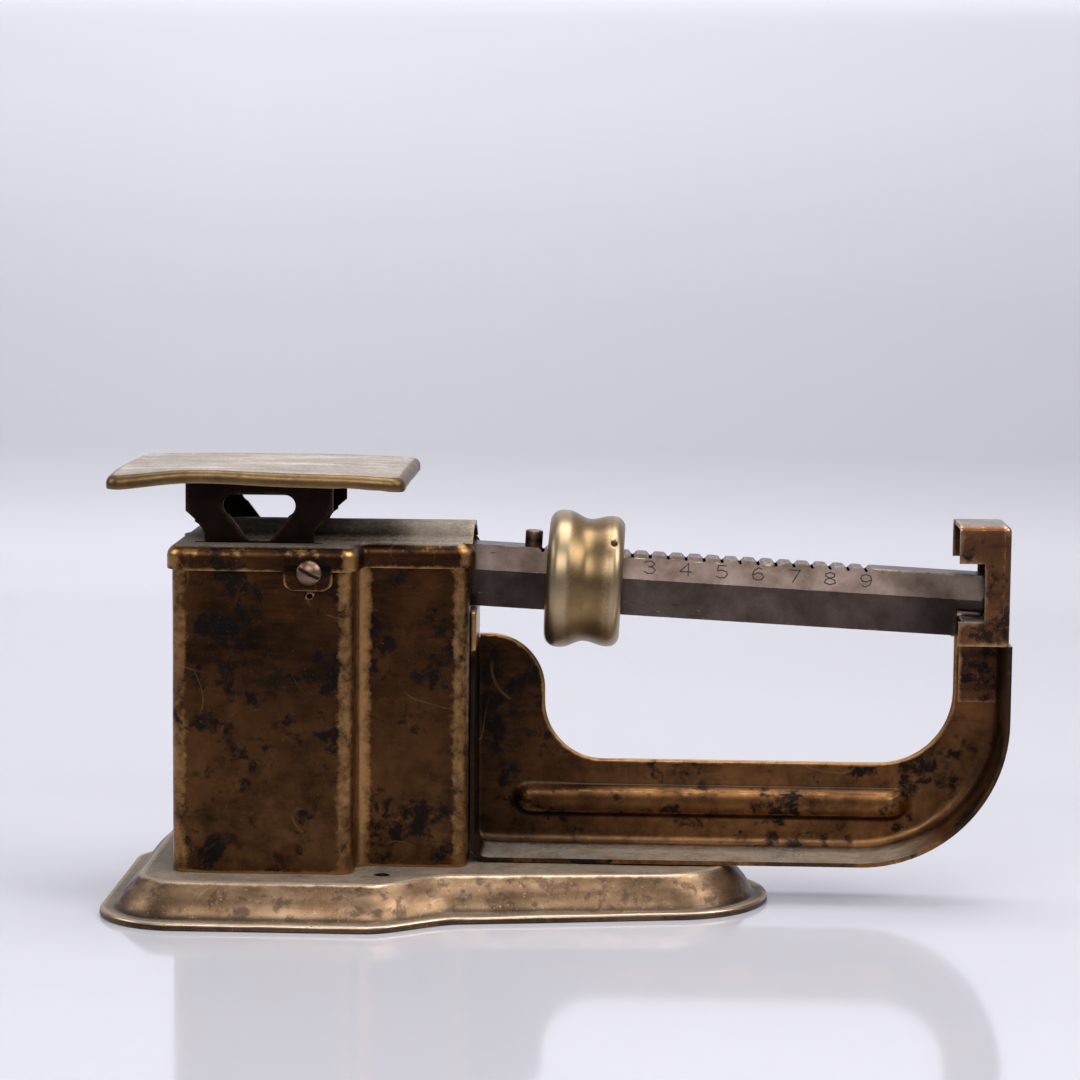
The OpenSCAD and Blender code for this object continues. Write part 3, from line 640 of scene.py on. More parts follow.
def build_base():
    x0, y1 = BASE_LO.x, BASE_HI.y - 0.18
    side_in, corner = 1.6, 19.0
    nose_outer = 24.6
    nose_x = BASE_HI.x - nose_outer
    slope_run = 10.8
    waist = x0 + 62.5
    outer = []
    for t in range(8):
        y = (y1 - corner) * t / 8
        outer.append((x0 + side_in, y))
    outer += arc(x0 + side_in + corner, y1 - corner, corner, 180, 90, 16)
    outer += line((x0 + side_in + corner, y1), (waist, y1), 26)
    outer += s_curve((waist, y1), (waist + 22, 32.0), 18)
    outer += line((waist + 22, 32.0), (nose_x + 2.9, 24.4), 30)
    outer += arc(nose_x, 0, nose_outer, 83, 0, 26, last=True)
    inner_y = y1 - 10
    inner_nose = 17.3
    inner_x, inner_r = x0 + slope_run + 1.2, 8.0
    inner = line((inner_x, 0), (inner_x, inner_y - inner_r), 8)
    inner += arc(inner_x + inner_r, inner_y - inner_r, inner_r, 180, 90, 16)
    inner += line((inner_x + inner_r, inner_y), (waist + 1, inner_y), 26)
    inner += s_curve((waist + 1, inner_y), (waist + 18, 21.2), 18)
    inner += line((waist + 18, 21.2), (nose_x + 0.2, 17.2), 30)
    inner += arc(nose_x - 2.5, 0, inner_nose, 81, 0, 26, last=True)
    outer, inner = base_outline(outer), base_outline(inner)
    profile = [
        (0.30, 0.05), (0.04, 0.35), (0.0, 0.85), (0.06, 1.30), (0.3, 1.62), (0.8, 1.72), (1.5, 1.62),
        (2.3, 1.50), (3.0, 1.55), (3.5, 1.85), (3.9, 2.35), (4.3, 3.05), (4.8, 3.95), (5.4, 4.85),
        (6.1, 5.7), (6.9, 6.5), (7.7, 7.2), (8.4, 7.85), (8.9, 8.4), (9.35, 8.85), (9.8, 9.1),
        (10.4, 9.2), (11.1, 9.1), (11.9, 9.0), (14.0, 9.0),
    ]
    under = [(d + 0.35 if d < 9 else d, max(0.0, min(z, 9.0) - SHEET)) for d, z in profile[5:]]
    rings = []
    for d, z in profile + list(reversed(under)) + [(0.9, 0.0)]:
        t = d / slope_run
        ring = []
        for (ox, oy), (ix, iy) in zip(outer, inner):
            wobble = 0.12 * noise.noise(Vector((ox / 9, oy / 9, 3.3))) * max(0.0, 1 - d / 3)
            ring.append((ox + (ix - ox) * t, oy + (iy - oy) * t, z + (wobble if z > 1 else 0)))
        rings.append(ring)
    plateau, ceiling = len(profile) - 1, len(profile)
    obj = shell("base_shell", rings, caps=(plateau, ceiling), skip=plateau)
    hole_r = 1.8
    for hole_y in (-BASE_HOLE_Y, BASE_HOLE_Y):
        boolean(obj, rod("cutter", (BASE_HOLE_X, hole_y, PLATEAU_Z), (0, 0, 1), hole_r, -4, 4))
    dent(obj, 14, 0.16, 2)
    for v in obj.data.vertices:
        v.co.z = max(v.co.z, 0.0)
    return obj


# ------------------------------------------------------------------ housing and cover


def step_outline(grow):
    """The housing's plan outline, grown outwards: a closed ring, starting at the left wall's middle."""
    lo, hi = HOUSING_LO, HOUSING_HI
    wide, narrow = hi.y + grow, NARROW_HALF + grow
    x0, x2 = lo.x - grow, hi.x + grow
    step = STEP_X + grow
    r = max(0.8, 3.6 + grow)
    fillet = max(0.6, 2.6 - grow * 0.4)
    pts = line((x0, 0), (x0, wide - r), 20)
    pts += arc(x0 + r, wide - r, r, 180, 90, 9)
    pts += line((x0 + r, wide), (step - r, wide), 36)
    pts += arc(step - r, wide - r, r, 90, 0, 9)
    pts += line((step, wide - r), (step, narrow + fillet), 4)
    pts += arc(step + fillet, narrow + fillet, fillet, 180, 270, 8)
    pts += line((step + fillet, narrow), (x2 - r, narrow), 18)
    pts += arc(x2 - r, narrow - r, r, 90, 0, 9)
    pts += line((x2, narrow - r), (x2, 0), 10)
    near = [(x, -y) for x, y in reversed(pts)]
    return pts + [(x2, 0)] + near[:-1]


def build_housing():
    z0, z1 = PLATEAU_Z + 0.03, HOUSING_HI.z
    rise = [0.0, 0.25, 0.8] + [1.6 + 1.6 * i for i in range(42)]
    heights = [z0 + h for h in rise if z0 + h < z1 - 1.2] + [z1 - 1.0, z1 - 0.3, z1]
    skins = [(0.0, h) for h in heights] + [(-SHEET, h) for h in reversed(heights)]
    rings = []
    for grow, z in skins:
        pinch = 0.12 if z in (heights[0], heights[-1]) else 0.0
        side = -pinch if grow == 0.0 else pinch
        rings.append([(x, y, z) for x, y in step_outline(grow + side)])
    obj = shell("housing_shell", rings)
    hi = HOUSING_HI
    boolean(obj, box_cutter((hi.x - 6, -8, 67), (hi.x + 6, 8, hi.z + 5)))
    boolean(obj, rod("cutter", (EAR_X + 0.3, -hi.y, 72.1), (0, 1, 0), 0.65, -3, 3, sides=24))
    dent(obj, 22, 0.16, 5)
    return obj


def hood_solid():
    """The arched hood as a closed sheet, flared out at its foot."""
    top, flat = COVER_HI.z, COVER_FLAT_Z
    half = 11.0
    radius = (half * half + (top - flat) ** 2) / (2 * (top - flat))
    centre = top - radius
    x_left = HOOD_LEFT_X
    x_right = COVER_HI.x - 0.6
    outer = [(12.7, flat - 0.02), (12.1, flat + 0.06), (11.5, flat + 0.25), (10.9, flat + 0.62)]
    across = (10.0, 9.0, 8.0, 7.0, 6.0, 5.0, 4.0, 3.0, 2.0, 1.0, 0.0)
    outer += [(r, centre + math.sqrt(radius**2 - r**2)) for r in across]
    inner_radius = radius - SHEET
    inner = [(12.4, flat - 0.75), (11.6, flat - 0.7), (11.0, flat - 0.45), (10.5, flat - 0.1)]
    across = (9.6, 8.7, 7.8, 6.9, 5.9, 4.9, 4.0, 3.0, 2.0, 1.0, 0.0)
    inner += [(r, centre + math.sqrt(inner_radius**2 - r**2)) for r in across]
    stations = []
    steps = 36
    for i in range(steps):
        stations.append((x_right + (x_left - x_right) * i / steps, (0.0, -1.0)))
    for i in range(25):
        a = math.radians(-90 - 180 * i / 24)
        stations.append((x_left, (math.cos(a), math.sin(a))))
    for i in range(1, steps + 1):
        stations.append((x_left + (x_right - x_left) * i / steps, (0.0, 1.0)))
    rows = []
    for x, (dx, dy) in stations:
        row = [(x + dx * r, dy * r, z) for r, z in outer]
        row += [(x + dx * r, dy * r, z) for r, z in reversed(inner)]
        rows.append(row)
    m = len(outer)
    count = 2 * m
    verts = [p for row in rows for p in row]
    faces = []
    for s in range(len(rows) - 1):
        for i in range(count):
            if i == m - 1:
                continue
            a, b = s * count + i, s * count + (i + 1) % count
            faces.append((a, b, b + count, a + count))
    for s in (0, len(rows) - 1):
        for i in range(m - 1):
            a = s * count
            faces.append((a + i, a + i + 1, a + count - 2 - i, a + count - 1 - i))
    obj = make_object("hood", verts, faces)

    def weld(bm):
        bmesh.ops.remove_doubles(bm, verts=bm.verts, dist=1e-6)
        bmesh.ops.recalc_face_normals(bm, faces=bm.faces)

    edit(obj, weld)
    return obj


def build_cover():
    flat, lap, bend, z_skirt = COVER_FLAT_Z, COVER_LAP, 2.6, 77.7
    outer = [(0.10, z_skirt), (0.0, z_skirt + 0.2), (0.0, 78.6), (0.0, 79.6)]
    outer += quarter_turn(0.0, bend, flat - bend, 8) + [(4.0, flat)]
    inner = [(SHEET - 0.1, z_skirt), (SHEET, z_skirt + 0.2), (SHEET, 78.6), (SHEET, 79.6)]
    inner += quarter_turn(SHEET, bend - SHEET, flat - bend, 8) + [(4.0, flat - SHEET)]
    rings = [[(x, y, z) for x, y in step_outline(lap - d)] for d, z in outer + list(reversed(inner))]
    top, ceiling = len(outer) - 1, len(outer)
    obj = shell("cover_shell", rings, caps=(top, ceiling), skip=top)
    # room for the beam under the hood
    x_left, x_right, half = HOOD_LEFT_X, COVER_HI.x + 2, 10.4
    ring = arc(x_left, 0, half, 90, 270, 24, last=True)
    ring += line((x_left, -half), (x_right, -half), 4, last=True)[1:]
    ring += line((x_right, -half), (x_right, half), 4)[1:] + line((x_right, half), (x_left, half), 4)
    foot = [[(x, y, z) for x, y in ring] for z in (81.0, 84.5)]
    boolean(obj, shell("cutter", foot, wrap=False, caps=(0, 1)))
    boolean(obj, hood_solid(), "UNION")
    boolean(obj, box_cutter((COVER_HI.x - 7, -8, 70), (COVER_HI.x + 5, 8, 82.4)))
    slot_x0, slot_x1 = HOUSING_LO.x + 4.5, HOUSING_LO.x + 33.4
    for side in (-1, 1):
        y = side * 16.45
        boolean(obj, box_cutter((slot_x0, y - 1.1, 80), (slot_x1, y + 1.1, 90)))
    # ears
    ear_half, ear_low, ear_high, r = 5.45, 73.3, 79.2, 2.4
    left, right, mid_z = EAR_X - ear_half, EAR_X + ear_half, (ear_low + ear_high) / 2
    ring = line((left, ear_high), (left, ear_low + r), 3)
    ring += arc(left + r, ear_low + r, r, 180, 270, 7)
    ring += arc(right - r, ear_low + r, r, 270, 360, 7)
    ring += line((right, ear_low + r), (right, ear_high), 3, last=True)
    for side in (-1, 1):
        y_out, y_in = side * (HOUSING_HI.y + lap), side * (HOUSING_HI.y + lap - SHEET)
        rings = [[(x, y_in, z) for x, z in ring], [(x, y_out - side * 0.2, z) for x, z in ring]]
        for share in (0.96, 0.85, 0.6, 0.3):
            rings.append([(EAR_X + (x - EAR_X) * share, y_out, mid_z + (z - mid_z) * share)
                          for x, z in ring])
        ear = shell("ear", rings, wrap=False, caps=(0, len(rings) - 1))
        boolean(obj, ear, "UNION")
    dent(obj, 12, 0.09, 9)
    return obj


# ------------------------------------------------------------------ pan


def pan_ring(inset, z):
    lo, hi = PAN_LO, PAN_HI
    cx, cy = (lo.x + hi.x) / 2, (lo.y + hi.y) / 2
    hx, hy = (hi.x - lo.x) / 2 - inset, (hi.y - lo.y) / 2 - inset
    r = min(max(0.7, 3.4 - inset), hy)
    pts = line((cx + hx, cy - hy + r), (cx + hx, cy + hy - r), 22)
    pts += arc(cx + hx - r, cy + hy - r, r, 0, 90, 8)
    pts += line((cx + hx - r, cy + hy), (cx - hx + r, cy + hy), 30)
    pts += arc(cx - hx + r, cy + hy - r, r, 90, 180, 8)
    pts += line((cx - hx, cy + hy - r), (cx - hx, cy - hy + r), 22)
    pts += arc(cx - hx + r, cy - hy + r, r, 180, 270, 8)
    pts += line((cx - hx + r, cy - hy), (cx + hx - r, cy - hy), 30)
    pts += arc(cx + hx - r, cy - hy + r, r, 270, 360, 8)
    return [(x, y, z) for x, y in pts]


def build_pan():
    top, rim = PAN_HI.z - 0.08, PAN_HI.z - PAN_LO.z
    curl, thick, recess = 1.7, 0.8, 0.15
    flat = [4.6 + 2.15 * i for i in range(11)] + [26.1]
    profile = [(0.15, -rim), (0.0, -rim + 0.3), (0.0, -rim + 1.0)]
    profile += quarter_turn(0.0, curl, -curl, 7) + [(2.4, -0.01), (3.0, -0.08), (3.6, -0.13)]
    profile += [(d, -recess) for d in flat]
    under = [(thick - 0.1, -rim), (thick, -rim + 0.3), (thick, -rim + 1.0)]
    under += quarter_turn(thick, curl - thick, -curl, 7) + [(2.4, -0.81), (3.0, -0.86), (3.6, -0.92)]
    under += [(d, -recess - thick) for d in flat]
    rings = [pan_ring(d, top + z) for d, z in profile + list(reversed(under))]
    cx, hx = (PAN_LO.x + PAN_HI.x) / 2, (PAN_HI.x - PAN_LO.x) / 2
    hy = (PAN_HI.y - PAN_LO.y) / 2

    def bent(x, y, z):
        """Corners and near rim a little low, a wave in the rim, small chips at its right end."""
        u, v = (x - cx) / hx, y / hy
        near = max(0.0, -v)
        drop = 0.7 * abs(u) ** 3 + near**3 * 0.95 * ease((u + 0.1) / 1.1)
        drop += near**3 * (0.9 * ease((-u - 0.35) / 0.65) + 0.25 * math.sin(5.2 * u + 0.6))
        drop += 0.05 * (1 + noise.noise(Vector((x / 8, y / 8, 1.0)))) * (1 - 0.5 * abs(u))
        chip = 0.0
        if z < top - rim + 0.5 and u > 0.55:
            chip = 0.5 * max(0.0, noise.noise(Vector((x / 2.2, y / 2.2, 4.0))))
        return x, y, min(PAN_HI.z, max(z - drop + chip, PAN_LO.z - 1.6))

    rings = [[bent(*p) for p in ring] for ring in rings]
    middle, below = len(profile) - 1, len(profile)
    return shell("pan_sheet", rings, caps=(middle, below), skip=middle)


# ------------------------------------------------------------------ beam, numbers, poise


def on_beam(u, y, w):
    return ON_BEAM @ Vector((u, y, w))


def notch_cutter():
    """The V notches along the top edges, opened out as the file left them."""
    verts, faces = [], []
    half_section = [(1.25, 0.3), (0.95, -0.05), (0.12, -0.95)]
    for i in range(NOTCH_COUNT):
        u = NOTCH_START_U + NOTCH_PITCH * i
        section = [(u - a, BEAM_TOP + w) for a, w in half_section]
        section += [(u + a, BEAM_TOP + w) for a, w in reversed(half_section)]
        base = len(verts)
        for y in (-9, 9):
            verts += [on_beam(a, y, w) for a, w in section]
        n = len(section)
        faces += [tuple(base + k for k in range(n)), tuple(base + n + k for k in range(n))]
        faces += [(base + k, base + (k + 1) % n, base + n + (k + 1) % n, base + n + k) for k in range(n)]
    return make_object("cutter", verts, faces, smooth=False)


DIGITS = {
    "1": [[(0.12, 0.8), (0.32, 1.0), (0.32, 0.0)], [(0.12, 0.0), (0.52, 0.0)]],
    "2": [[(0.03, 0.78), (0.12, 0.95), (0.3, 1.0), (0.5, 0.93), (0.58, 0.75), (0.5, 0.55), (0.02, 0.0),
           (0.6, 0.0)]],
    "3": [[(0.04, 0.86), (0.2, 1.0), (0.42, 0.98), (0.55, 0.78), (0.42, 0.58), (0.26, 0.54),
           (0.46, 0.5), (0.6, 0.28), (0.46, 0.04), (0.2, 0.0), (0.02, 0.15)]],
    "4": [[(0.44, 0.0), (0.44, 1.0), (0.0, 0.32), (0.62, 0.32)]],
    "5": [[(0.54, 1.0), (0.12, 1.0), (0.07, 0.56), (0.3, 0.64), (0.54, 0.52), (0.6, 0.3), (0.46, 0.04),
           (0.2, 0.0), (0.02, 0.13)]],
    "6": [[(0.52, 0.9), (0.34, 1.0), (0.12, 0.82), (0.02, 0.45), (0.08, 0.12), (0.3, 0.0), (0.52, 0.1),
           (0.6, 0.32), (0.5, 0.54), (0.3, 0.6), (0.06, 0.42)]],
    "7": [[(0.02, 1.0), (0.6, 1.0), (0.24, 0.0)]],
    "8": [[(0.3, 0.54), (0.08, 0.66), (0.06, 0.86), (0.3, 1.0), (0.54, 0.86), (0.52, 0.66), (0.3, 0.54),
           (0.06, 0.38), (0.02, 0.16), (0.3, 0.0), (0.58, 0.16), (0.54, 0.38), (0.3, 0.54)]],
    "9": [[(0.08, 0.1), (0.26, 0.0), (0.48, 0.18), (0.58, 0.55), (0.52, 0.88), (0.3, 1.0), (0.08, 0.9),
           (0.0, 0.68), (0.1, 0.46), (0.3, 0.4), (0.54, 0.58)]],
}


def build_numbers():
    """Numbers cut in the near upper facet, one at each whole notch, as thin dark grooves."""
    height, wide, stroke, sunk, proud, margin = 2.9, 1.5, 0.14, 0.12, 0.03, 1.5
    down = Vector((0, -(BEAM_CREASE_HALF - BEAM_TOP_HALF), -CREASE_BELOW_TOP)).normalized()
    out = Vector((0, -CREASE_BELOW_TOP, BEAM_CREASE_HALF - BEAM_TOP_HALF)).normalized()
    right = Vector((1, 0, 0))
    verts, faces = [], []
    for value in range(1, 10):
        u = NOTCH_START_U + 2 * NOTCH_PITCH * value
        corner = Vector((u - 0.3 * wide * height, -BEAM_TOP_HALF, BEAM_TOP)) + down * (margin + height)
        for stroke_points in DIGITS[str(value)]:
            path = [corner + right * (px * height * wide) - down * (pz * height)
                    for px, pz in stroke_points]
            for a, b in zip(path, path[1:]):
                along = (b - a).normalized()
                side = along.cross(out).normalized() * stroke
                base = len(verts)
                for p in (a - along * stroke * 0.6, b + along * stroke * 0.6):
                    for s in (-1, 1):
                        for h in (-sunk, proud):
                            verts.append(ON_BEAM @ (p + side * s + out * h))
                faces += [tuple(base + i for i in f) for f in (
                    (0, 1, 3, 2), (4, 6, 7, 5), (0, 4, 5, 1), (2, 3, 7, 6), (1, 5, 7, 3), (0, 2, 6, 4))]
    return make_object("beam_numbers", verts, faces, smooth=False)


def build_poise():
    radius, half, rounding = 15.8, 8.6, 2.9
    right, groove = radius - 0.8, radius - 1.75
    u0 = 53.1  # its middle, on the beam's own axis
    profile = [(9.0, -half + 0.15), (9.4, -half)]
    profile += arc(radius - rounding, -half + rounding, rounding, 270, 360, 12, last=True)
    crest = -half + rounding + 0.9
    valley = 0.6
    for i in range(1, 14):
        t = i / 13
        profile.append((radius + (groove - radius) * ease(t), crest + (valley - crest) * t))
    crest_right = half - 3.1
    for i in range(1, 11):
        t = i / 10
        profile.append((groove + (right - groove) * ease(t), valley + (crest_right - valley) * t))
    profile += arc(right - 2.6, half - 2.6, 2.6, 0, 90, 12, last=True)
    profile += [(9.4, half), (9.0, half - 0.15)]
    sides = 128
    rings = []
    for r, h in profile:
        ring = []
        for i in range(sides):
            a = 2 * math.pi * i / sides
            ring.append(on_beam(u0 + h, r * math.cos(a), r * math.sin(a)))
        rings.append(ring)
    obj = shell("poise_ring", rings, wrap=False, caps=(0, len(rings) - 1))
    gap, crease = 0.35, BEAM_TOP - CREASE_BELOW_TOP
    section = [
        (-BEAM_TOP_HALF - gap, BEAM_TOP + gap), (BEAM_TOP_HALF + gap, BEAM_TOP + gap),
        (BEAM_CREASE_HALF + gap, crease), (BEAM_BOTTOM_HALF + gap, -BEAM_TOP - gap),
        (-BEAM_BOTTOM_HALF - gap, -BEAM_TOP - gap), (-BEAM_CREASE_HALF - gap, crease)]
    bore = shell("cutter", [[on_beam(u0 + h, y, w) for y, w in section] for h in (-20, 20)],
                 wrap=False, caps=(0, 1))
    boolean(obj, bore)
    lean = math.radians(48)
    pit_axis = ON_BEAM.to_3x3() @ Vector((0, -math.sin(lean), math.cos(lean)))
    pit = rod("cutter", on_beam(u0 + half - 2.3, 0, 0), pit_axis, 0.8, right - 2.5, right + 3, sides=24)
    boolean(obj, pit)
    dent(obj, 9, 0.03, 12)
    return obj


# ------------------------------------------------------------------ support arm


def arm_outlines():
    """The web's edge at the window, and the outside of the flange, point for point, as (x, z)."""
    x0, x1 = ARM_LO.x, ARM_HI.x
    z0 = PLATEAU_Z + 0.12
    top = GUARD_LO.z + 15.2
    bend, corner = 34.0, 4.6
    hump_x, hump_r, hump_z = x0 + 3.8, 13.0, 47.0
    hump_top = hump_z + hump_r
    left_x, left_r, floor = hump_x + 26.5, 13.5, 30.8
    window_x, right_r = x1 - 11.8, 17.0
    right_x = window_x - right_r
    inner = line((x0 + 1.45, hump_top), (hump_x, hump_top), 2)
    inner += arc(hump_x, hump_z, hump_r, 90, 0, 22)
    inner += line((hump_x + hump_r, hump_z), (hump_x + hump_r, floor + left_r), 2)
    inner += arc(left_x, floor + left_r, left_r, 180, 270, 16)
    inner += line((left_x, floor), (right_x, floor), 56)
    inner += arc(right_x, floor + right_r, right_r, 270, 360, 26)
    inner += line((window_x, floor + right_r), (window_x, top), 9, last=True)
    outer = line((x0, hump_top - 1.1), (x0, z0 + corner), 22)
    outer += arc(x0 + corner, z0 + corner, corner, 180, 270, 4)
    outer += line((x0 + corner, z0), (left_x - 6, z0), 16)
    outer += line((left_x - 6, z0), (x1 - bend, z0), 56)
    outer += arc(x1 - bend, z0 + bend, bend, 270, 360, 26)
    outer += line((x1, z0 + bend), (x1, top), 9, last=True)
    return inner, outer


def along_path(path, k):
    """The unit direction of a path at its point k."""
    (ax, az), (bx, bz) = path[max(0, k - 1)], path[min(len(path) - 1, k + 1)]
    length = math.hypot(bx - ax, bz - az)
    return (bx - ax) / length, (bz - az) / length


def build_arm():
    x0, x1, half = ARM_LO.x, ARM_HI.x, ARM_HI.y
    rows = []
    web_y = half - SHEET
    across = 64
    thick, fillet, small_turn = 1.2, 2.9, 0.9
    inner, outer = arm_outlines()
    for k, ((ix, iz), (ox, oz)) in enumerate(zip(inner, outer)):
        tx, tz = along_path(outer, k)
        nx, nz = -tz, tx
        sx, sz = along_path(inner, k)
        mx, mz = sz, -sx
        row = []
        # the short lip round the window, then its bend
        for d, y in ((0.05, half), (0.05, web_y + 0.55), (0.18, web_y + 0.2), (0.5, web_y + 0.02)):
            row.append((ix + mx * d, y, iz + mz * d))
        start = (ix + mx * 0.9, iz + mz * 0.9)
        # the foot of the flange; beside the housing it is only a small turn
        share = 1.0 if ox > x0 + 10 else max(0.0, nz)
        turn = small_turn - 0.68 * ease((oz - 50.0) / 7.0)
        bend_r = turn + (fillet - turn) * share
        end = (ox + nx * (thick + bend_r), oz + nz * (thick + bend_r))
        for i in range(across + 1):
            t = i / across
            px, pz = start[0] + (end[0] - start[0]) * t, start[1] + (end[1] - start[1]) * t
            row.append((px, web_y - bead_height(px, pz), pz))
        for i in range(1, 8):
            a = math.radians(90 * i / 8)
            d = thick + bend_r * (1 - math.sin(a))
            row.append((ox + nx * d, web_y - bend_r * (1 - math.cos(a)), oz + nz * d))
        for i in range(13):
            y = web_y - bend_r + (-half + 0.1 - (web_y - bend_r)) * i / 12
            row.append((ox + nx * thick, y, oz + nz * thick))
        rows.append(row)
    obj = grid("arm_channel", rows)
    # the flat grid is the front face; its thickness goes to the back and outside
    solid = obj.modifiers.new("sheet", "SOLIDIFY")
    solid.thickness = 0.95 * MM
    middle = obj.data.polygons[len(obj.data.polygons) // 2]
    solid.offset = -1 if middle.normal.y < 0 else 1
    apply_modifiers(obj)
    rim = obj.modifiers.new("rim", "BEVEL")
    rim.width = 0.22 * MM
    rim.segments = 2
    rim.limit_method = "ANGLE"
    rim.angle_limit = math.radians(60)
    apply_modifiers(obj)
    for poly in obj.data.polygons:
        poly.use_smooth = True
    dent(obj, 20, 0.05, 15)

    def clamp(bm):
        for v in bm.verts:
            v.co.x = min(max(v.co.x, x0 * MM), x1 * MM)
            v.co.z = max(v.co.z, PLATEAU_Z * MM)
            v.co.y = min(max(v.co.y, -half * MM), half * MM)

    edit(obj, clamp)
    return obj


def build_end_flange():
    """The strip of the arm that is riveted to the housing's side, above the hump."""
    x0, x1 = ARM_LO.x, ARM_LO.x + 1.35
    ring = [(x0, ARM_LO.y), (x1, ARM_LO.y), (x1, ARM_HI.y), (x0, ARM_HI.y)]
    heights = (58.0, 60.5, 63.0, 65.0, 67.0)
    rings = [[(x, y, z) for x, y in ring] for z in heights]
    obj = shell("arm_end_flange", rings, wrap=False, caps=(0, 4))
    edges = obj.modifiers.new("round", "BEVEL")
    edges.width = 0.3 * MM
    edges.segments = 2
    apply_modifiers(obj)
    return obj


def bead_height(x, z):
    """How far the pressed bead stands out of the arm's web."""
    x0, x1, mid, reach, height = ARM_LO.x + 13.6, ARM_LO.x + 97.6, 21.0, 3.9, 2.1
    dx = max(x0 - x, x - x1, 0.0)
    d = math.hypot(dx, z - mid) / reach
    if d >= 1:
        return 0.0
    if d < 0.6:
        return height * math.sqrt(1 - (d / 0.92) ** 2)
    return height * 0.758 * (1 - ease((d - 0.6) / 0.4))


# ------------------------------------------------------------------ the pieces in their places

base = build_base()
even_normals(base, 50)
mark_wear(base, 0.45)
# painted shade at the hole rims, and a painted contact shadow along the base's foot below 1.15 mm
shade_holes(base, [(BASE_HOLE_X, y) for y in (-BASE_HOLE_Y, BASE_HOLE_Y)], 2.0, 1.15)
place(base, "base", "bronzed_base", "base_plate")

housing = build_housing()
even_normals(housing, 50)
mark_wear(housing, 0.50, passes=1)
# painted highlight: the bright strip on the rounded corner at the housing's step, drawn as worn gold
rub(housing, [(STEP_X + 1.3, NARROW_HALF + 1.3)], 2.9, 0.95, 0, 90)
place(housing, "base", "bronzed_sheet", "housing")

cover = build_cover()
even_normals(cover, 45)
mark_wear(cover, 1.2, strength=0.8)
corners = [(HOUSING_LO.x, HOUSING_HI.y), (STEP_X, HOUSING_HI.y), (HOUSING_HI.x, NARROW_HALF)]
# painted highlights on the cover's rounded corners, drawn as bright worn metal
rub(cover, corners, 3.4, 0.92, 78.4, 84.0)
place(cover, "base", "bronzed_sheet", "top_cover")

pan = build_pan()
even_normals(pan, 60)
mark_wear(pan, 0.9)
place(pan, "pan", "worn_brass_pan", "pan")

arm = build_arm()
even_normals(arm, 50)
mark_wear(arm, 0.75, strength=0.8)
place(arm, "base", "bronzed_sheet", "support_arm")
flange = build_end_flange()
mark_wear(flange)
place(flange, "base", "bronzed_sheet")

poise = build_poise()
mark_wear(poise)
place(poise, "poise", "olive_brass", "poise")

numbers = build_numbers()
place(numbers, "beam", "gunmetal_beam")
ink = Nodes("number_groove")
grime = ink.noise(1.1, 4, 0.6, seed=50)
ink.surface(ink.ramp(grime, (0.35, (0.014, 0.011, 0.009)), (0.65, (0.050, 0.040, 0.034))), 0.7, 0.3)
numbers.data.materials.clear()
numbers.data.materials.append(ink.material)

SLOT_OF = {s["node"]: s["material_slot"] for s in frame["record"]["subparts"]}
BODY_OF = {n: b for b, members in frame["record"]["behaviour"]["bodies"].items() for n in members}


def on_guard_outside(a, b):
    """An edge of the guard between two of its outer faces."""
    lo, hi = GUARD_LO, GUARD_HI
    faces = 0
    for near in (lambda p: abs(p.x - hi.x) < 0.02, lambda p: abs(p.z - hi.z) < 0.02,
                 lambda p: abs(p.y - hi.y) < 0.02, lambda p: abs(p.y - lo.y) < 0.02):
        faces += near(a) and near(b)
    return faces >= 2


# CAD nodes replaced by a rounded copy: edge width, longest edge, wider bends
ROUNDED = {
    "beam": (0.4, 1.6, None), "beam_guard": (0.22, 1.2, (on_guard_outside, 1.5)),
    "pan_bracket": (0.2, 1.6, None), "cover_screws": (0.15, 0.8, None), "stop_pin": (0.35, 1.0, None),
    "balance_screw": (0.3, None, None), "fulcrum_stand": (0.3, None, None),
    "check_link": (0.2, None, None), "counterweight": (0.8, None, None),
}
for node, (width, longest, outer) in ROUNDED.items():
    cut = notch_cutter if node == "beam" else None
    soften(node, width, BODY_OF[node], SLOT_OF[node], longest, outer, cut)

handled = set(ROUNDED) | {"base_plate", "housing", "top_cover", "pan", "support_arm", "poise"}
for node, obj in frame["nodes"].items():
    if node not in handled:
        obj.data.materials.clear()
        obj.data.materials.append(MATERIALS[SLOT_OF[node]])

# ------------------------------------------------------------------ floor, backdrop, light, camera


